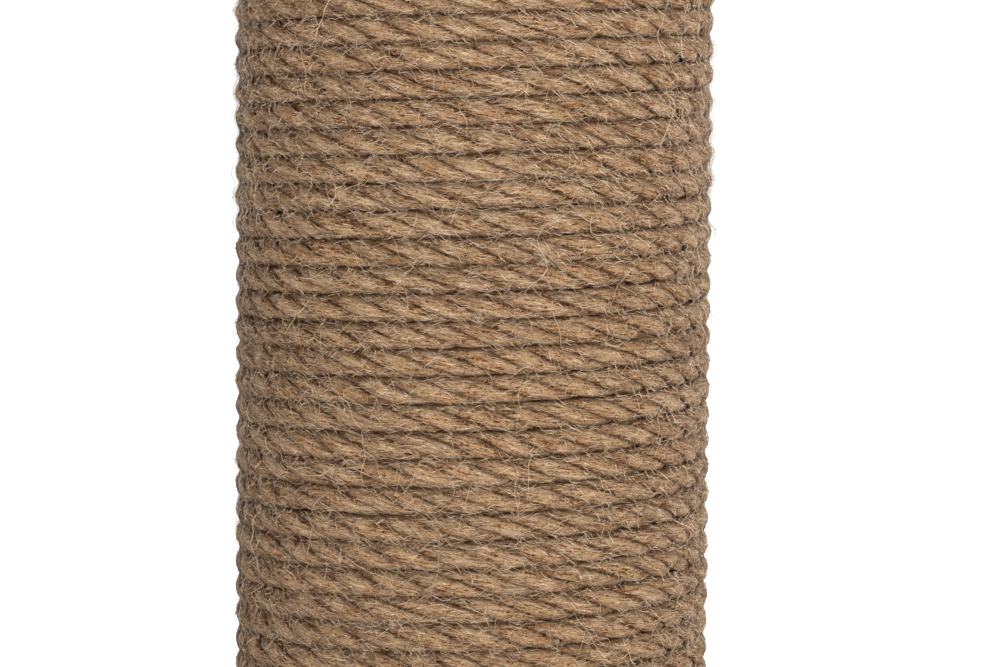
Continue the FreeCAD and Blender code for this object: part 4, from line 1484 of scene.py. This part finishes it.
    def foam_pad(self, low: np.ndarray, high: np.ndarray) -> bpy.types.Object:
        """Make the crowned pad.

        Args:
            low: Lowest corner of its CAD solid.
            high: Highest corner of its CAD solid.

        Returns:
            The mesh object.
        """
        radius = high[0] - self.pad_inset
        rim = low[2] + self.pad_rim
        rings = []
        for reach in [*np.linspace(0.3, radius - 3, 14), *(radius - np.array(self.pad_drops))]:
            rings.append(self.circle(reach, self.crown_level(reach, radius, rim, high[2] - self.pad_inset)))
        rings += [self.circle(radius, level) for level in (rim - 1.0, low[2] + 1.2)]
        rings += [self.circle(radius * share, low[2] + self.floor_gap) for share in (0.99, 0.6, 0.01)]
        return ring_shell("cap_pad", rings)

    def puff(self, cloth: bpy.types.Object, board_top: float) -> None:
        """Let a cloth simulation swell the crown a little, and take its shape over.

        Args:
            cloth: The cloth, changed in place.
            board_top: Level above which it may move, in millimetres.
        """
        scene = bpy.context.scene
        trial = bpy.data.objects.new("trial", cloth.data.copy())
        scene.collection.objects.link(trial)
        held = trial.vertex_groups.new(name="held")
        held_level = (board_top + 1) * MM
        held.add([vertex.index for vertex in trial.data.vertices if vertex.co.z < held_level], 1.0, "REPLACE")
        simulated = trial.modifiers.new("cloth", "CLOTH")
        simulated.settings.use_pressure = True
        simulated.settings.uniform_pressure_force = self.pressure
        simulated.settings.effector_weights.gravity = 0.0
        simulated.settings.vertex_group_mass = "held"
        for step in range(1, self.frames + 1):
            scene.frame_set(step)
        evaluated = trial.evaluated_get(bpy.context.evaluated_depsgraph_get())
        for vertex, swollen in zip(cloth.data.vertices, evaluated.data.vertices):
            move = swollen.co - vertex.co
            if move.length > self.swell_limit * MM:
                move *= self.swell_limit * MM / move.length
            outward = Vector((vertex.co.x, vertex.co.y, 0)).length
            if vertex.co.z > board_top * MM and outward > 0:
                vertex.co += self.swell_share * move
        scene.frame_set(1)
        bpy.data.objects.remove(trial)


# ------------------------------------------------------------------ solids


@dataclass(frozen=True)
class Grained:
    """A finish with two tones in a grain, and a little relief."""

    name: str
    dark: str
    light: str
    grain_mm: tuple[float, float, float]
    roughness: float
    relief_mm: float
    metallic: float = 0.0
    spread: float = 0.16

    def build(self) -> bpy.types.Material:
        """Make the finish.

        Returns:
            A material whose pattern is laid in the object's own space.
        """
        material, tree, shader = new_material(self.name)
        place = add_node(tree, "ShaderNodeTexCoord")
        stretch = {"operation": "MULTIPLY", 1: tuple(1 / (size * MM) for size in self.grain_mm)}
        scaled = add_node(tree, "ShaderNodeVectorMath", stretch, {0: (place, "Object")})
        noise = {"Scale": 1.0, "Detail": 5.0, "Roughness": 0.6}
        grain = add_node(tree, "ShaderNodeTexNoise", noise, {"Vector": (scaled, 0)})
        ramp = add_node(tree, "ShaderNodeValToRGB", links={"Fac": (grain, "Fac")})
        set_ramp(ramp, [(0.5 - self.spread, self.dark), (0.5 + self.spread, self.light)])
        relief = {"Strength": 0.6, "Distance": self.relief_mm * MM}
        bump = add_node(tree, "ShaderNodeBump", relief, {"Height": (grain, "Fac")})
        finish = {"Roughness": self.roughness, "Metallic": self.metallic}
        set_up(tree, shader, finish, {"Base Color": (ramp, "Color"), "Normal": (bump, "Normal")})
        return material


# Pressed wood fibre, sawn: fine brown speckle, matt, with no grain direction.
FIBREBOARD = Grained("fibreboard_pressed_sawn", "#8E6A45", "#B48E64", (0.8, 0.8, 0.5), 0.8, 0.05)
# Softwood, sawn: pale bands along X from the growth rings, with a faint satin light.
PLUG_WOOD = Grained("softwood_sawn", "#B98C58", "#DDB986", (22.0, 1.2, 1.2), 0.65, 0.08)
# Kraft board, wound: grey-brown matt paper, banded where the plies spiral round.
TUBE_BOARD = Grained("kraft_board_spiral_wound", "#6E543B", "#8C6E50", (9.0, 9.0, 1.6), 0.85, 0.04)
# Steel, zinc plated: bright grey metal with a faint mottle.
ZINC_STEEL = Grained("steel_zinc_plated", "#A9A8A2", "#D2D1CA", (2.5, 2.5, 2.5), 0.32, 0.01, metallic=1.0)
# Steel wire, galvanised: greyer and a little duller than the bolts.
STAPLE_STEEL = Grained(
    "steel_wire_galvanised", "#9C9C99", "#C3C3BF", (0.6, 0.6, 0.6), 0.42, 0.01, metallic=1.0
)
# Rubber, moulded: near black, with a fine spark-eroded texture.
FOOT_RUBBER = Grained("rubber_moulded_black", "#121212", "#232323", (0.5, 0.5, 0.5), 0.6, 0.04)
# Polyurethane foam, open-cell: creamy, full of small dark cells.
FOAM = Grained("polyurethane_foam_open_cell", "#C9B27E", "#EFE2BE", (0.9, 0.9, 0.9), 0.9, 0.3)


# Knitted polyester plush, sheared short: soft beige with a light sheen. Painted shade darkens the cloth
# between the tufts and each tuft's root, so the tufts turn paler towards their tips. Its real fibres are far
# finer than a pixel, so the pile is drawn as coarser tufts 2 mm apart.
@dataclass(frozen=True)
class Plush:
    """Finish of the covers on the base and the cap."""

    root: str = "#8F7B62"
    tip: str = "#D9C7A9"
    mottle_mm: float = 14.0
    mottle_share: float = 0.35
    tone_share: float = 0.75
    roughness: float = 0.85
    sheen: float = 0.35
    sheen_roughness: float = 0.45
    specular: float = 0.3

    def build(self) -> bpy.types.Material:
        """Make the finish.

        Returns:
            A material that reads each tuft's own tone.
        """
        material, tree, shader = new_material("polyester_plush_sheared")
        tone = add_node(tree, "ShaderNodeAttribute", {"attribute_name": "tone"})
        place = add_node(tree, "ShaderNodeTexCoord")
        noise = {"Scale": 1 / (self.mottle_mm * MM), "Detail": 3.0}
        mottle = add_node(tree, "ShaderNodeTexNoise", noise, {"Vector": (place, "Object")})
        darker = {"operation": "MULTIPLY", 1: self.mottle_share}
        shade = add_node(tree, "ShaderNodeMath", darker, {0: (mottle, "Fac")})
        mixed = {"operation": "MULTIPLY_ADD", 1: self.tone_share}
        total = add_node(tree, "ShaderNodeMath", mixed, {0: (tone, "Fac"), 2: (shade, 0)})
        # The root end of the ramp is painted shade, on the cloth and at the foot of each tuft.
        ramp = add_node(tree, "ShaderNodeValToRGB", links={"Fac": (total, 0)})
        set_ramp(ramp, [(0.1, self.root), (0.85, self.tip)])
        finish = {
            "Roughness": self.roughness,
            "Sheen Weight": self.sheen,
            "Sheen Roughness": self.sheen_roughness,
            "Specular IOR Level": self.specular,
        }
        set_up(tree, shader, finish, {"Base Color": (ramp, "Color")})
        return material


@dataclass
class Solids:
    """The pieces that keep their CAD shape: boards, tube, plugs, feet and fasteners."""

    finishes: dict[Slot, Grained] = field(
        default_factory=lambda: {
            Slot.FIBREBOARD: FIBREBOARD,
            Slot.PLUG_WOOD: PLUG_WOOD,
            Slot.TUBE_BOARD: TUBE_BOARD,
            Slot.ZINC_STEEL: ZINC_STEEL,
            Slot.STAPLE_STEEL: STAPLE_STEEL,
            Slot.FOOT_RUBBER: FOOT_RUBBER,
        }
    )

    def dress(self) -> list[str]:
        """Give each solid its finish.

        Returns:
            Names of the nodes that were dressed.
        """
        made = {slot.value: finish.build() for slot, finish in self.finishes.items()}
        dressed = []
        for part in frame["record"]["subparts"]:
            if part["material_slot"] not in made:
                continue
            solid = bpy.data.objects[part["node"]]
            for slot in solid.material_slots:
                slot.material = made[part["material_slot"]]
            if not solid.material_slots:
                solid.data.materials.append(made[part["material_slot"]])
            dressed.append(part["node"])
        return dressed


# ------------------------------------------------------------------- studio


@dataclass(frozen=True)
class SoftBox:
    """A rectangular lamp, with places and sizes in millimetres and its power in watts."""

    name: str
    place: tuple[float, float, float]
    target: tuple[float, float, float]
    size: tuple[float, float]
    power: float

    def build(self) -> None:
        """Hang the lamp, turned to its target and unseen by the camera."""
        light = bpy.data.lights.new(self.name, "AREA")
        light.shape = "RECTANGLE"
        light.size, light.size_y = (side * MM for side in self.size)
        light.energy = self.power
        lamp = bpy.data.objects.new(self.name, light)
        lamp.location = Vector(self.place) * MM
        aim = (Vector(self.target) - Vector(self.place)).to_track_quat("-Z", "Y")
        lamp.rotation_euler = aim.to_euler()
        lamp.visible_camera = False
        bpy.context.scene.collection.objects.link(lamp)


# Opal acrylic, cast and lit from below: plain white near the post, where it takes the post's shadow, and
# bright white further out, where the eye loses its edge.
@dataclass(frozen=True)
class LitAcrylic:
    """Finish of the floor."""

    plain_mm: tuple[float, float] = (400.0, 760.0)
    glow: tuple[float, float] = (0.1, 0.95)
    base: str = "#E6E6E6"
    roughness: float = 0.6

    def build(self) -> bpy.types.Material:
        """Make the finish.

        Returns:
            A material that glows more with the distance from the post.
        """
        material, tree, shader = new_material("opal_acrylic_lit_from_below")
        place = add_node(tree, "ShaderNodeTexCoord")
        reach = add_node(tree, "ShaderNodeVectorMath", {"operation": "LENGTH"}, {0: (place, "Object")})
        near, far = self.plain_mm
        brighter = span((near * MM, far * MM), self.glow, "SMOOTHSTEP")
        glow = add_node(tree, "ShaderNodeMapRange", brighter, {"Value": (reach, "Value")})
        finish = {
            "Base Color": linear(self.base),
            "Roughness": self.roughness,
            "Emission Color": (1, 1, 1, 1),
        }
        set_up(tree, shader, finish, {"Emission Strength": (glow, "Result")})
        return material


@dataclass
class Studio:
    """White floor in a white surround, soft lamps, and the camera at the photo's place."""

    column_px: float = 473.0
    lens_px: float = 3239.0
    sensor_mm: float = 36.0
    clip_mm: tuple[float, float] = (10.0, 100000.0)
    distance: float = 638.0
    look_level: float = 211.15
    look_down_deg: float = 4.4
    roll_deg: float = 0.332
    floor_radius: float = 5000.0
    floor_thickness: float = 12.0
    floor_corners: int = 96
    lamps: tuple[SoftBox, ...] = (
        SoftBox("key", (145, -800, 250), (0, 0, 210), (160, 170), 8.3),
        SoftBox("rim", (820, 560, 260), (0, 0, 210), (300, 700), 8.6),
        SoftBox("back", (-450, 780, 350), (0, 0, 210), (400, 500), 5.0),
        SoftBox("top", (0, 0, 1500), (0, 0, 0), (500, 500), 14.0),
    )

    def build(self) -> None:
        """Make the floor, the surround, the lamps and the camera."""
        self.floor()
        self.surround()
        for lamp in self.lamps:
            lamp.build()
        self.camera()
        bpy.context.scene.view_settings.view_transform = "Standard"

    def floor(self) -> None:
        """Make a round white floor whose upper side is the ground."""
        count = self.floor_corners
        angle = np.linspace(0, 2 * math.pi, count, endpoint=False)
        ring = np.stack([np.cos(angle), np.sin(angle), 0 * angle], axis=1) * self.floor_radius
        down = np.array([0, 0, self.floor_thickness])
        middle = np.zeros((1, 3))
        points = np.concatenate([ring, ring - down, middle, middle - down])
        around = np.arange(count)
        after = (around + 1) % count
        sides = np.stack([around + count, after + count, after, around], axis=1)
        top = np.stack([around * 0 + 2 * count, around, after], axis=1)
        underside = np.stack([around * 0 + 2 * count + 1, after + count, around + count], axis=1)
        piece = mesh_piece("floor", points, sides, np.concatenate([top, underside]), smooth=False)
        piece.data.materials.append(LitAcrylic().build())

    def surround(self) -> None:
        """Light the scene from all round: white behind and along the horizon, darker above and in front."""
        world = bpy.data.worlds.new("white_surround")
        world.use_nodes = True
        tree = world.node_tree
        background = tree.nodes["Background"]
        place = add_node(tree, "ShaderNodeTexCoord")
        split = add_node(tree, "ShaderNodeSeparateXYZ", links={"Vector": (place, "Generated")})
        steps = (
            ("Y", (0.1, 0.8), (0.3, 1.02)),
            ("X", (0.2, 0.9), (0.0, 0.12)),
            ("Z", (0.35, 0.9), (1.0, 0.5)),
            ("Z", (0.04, 0.2), (1.0, 0.0)),
        )
        eased = []
        for axis, reach, values in steps:
            settings = span(reach, values, "SMOOTHSTEP")
            eased.append((add_node(tree, "ShaderNodeMapRange", settings, {"Value": (split, axis)}), "Result"))
        behind, right, above, horizon = eased
        strength = behind
        for operation, other in (("ADD", right), ("MULTIPLY", above), ("MAXIMUM", horizon)):
            links = {0: strength, 1: other}
            strength = (add_node(tree, "ShaderNodeMath", {"operation": operation}, links), 0)
        set_up(tree, background, {"Color": (1, 1, 1, 1)}, {"Strength": strength})
        bpy.context.scene.world = world

    def camera(self) -> None:
        """Place the camera in front of the column, looking slightly down."""
        data = bpy.data.cameras.new("camera")
        data.sensor_width = self.sensor_mm
        data.lens = self.lens_px * data.sensor_width / PHOTO_WIDTH_PX
        data.clip_start, data.clip_end = (reach * MM for reach in self.clip_mm)
        sideways = (PHOTO_WIDTH_PX / 2 - self.column_px) / self.lens_px * self.distance
        down = math.radians(self.look_down_deg)
        rise = self.distance * math.tan(down)
        camera = bpy.data.objects.new("camera", data)
        camera.location = Vector((sideways, -self.distance, self.look_level + rise)) * MM
        tilt = Matrix.Rotation(math.radians(90) - down, 4, "X")
        roll = Matrix.Rotation(math.radians(self.roll_deg), 4, "Z")
        camera.rotation_euler = (tilt @ roll).to_euler()
        bpy.context.scene.collection.objects.link(camera)
        bpy.context.scene.camera = camera


def main() -> None:
    """Build the post and the studio, and report each piece."""
    logging.basicConfig(level=logging.INFO, format="%(name)s: %(message)s")
    route = RopeRoute.from_frame()
    for piece in LaidRope(route).build(JuteRope().build()):
        log.info("rope length %s", piece.name)
    for piece in RopeFuzz(route).build(LooseJute().build()):
        log.info("loose fibres %s", piece.name)
    plush = Plush().build()
    for piece in BaseCover().build(plush) + CapCushion().build(plush, FOAM.build()):
        log.info("soft piece %s", piece.name)
    for node in Solids().dress():
        log.info("solid %s", node)
    Studio().build()


if __name__ == "__main__":
    main()
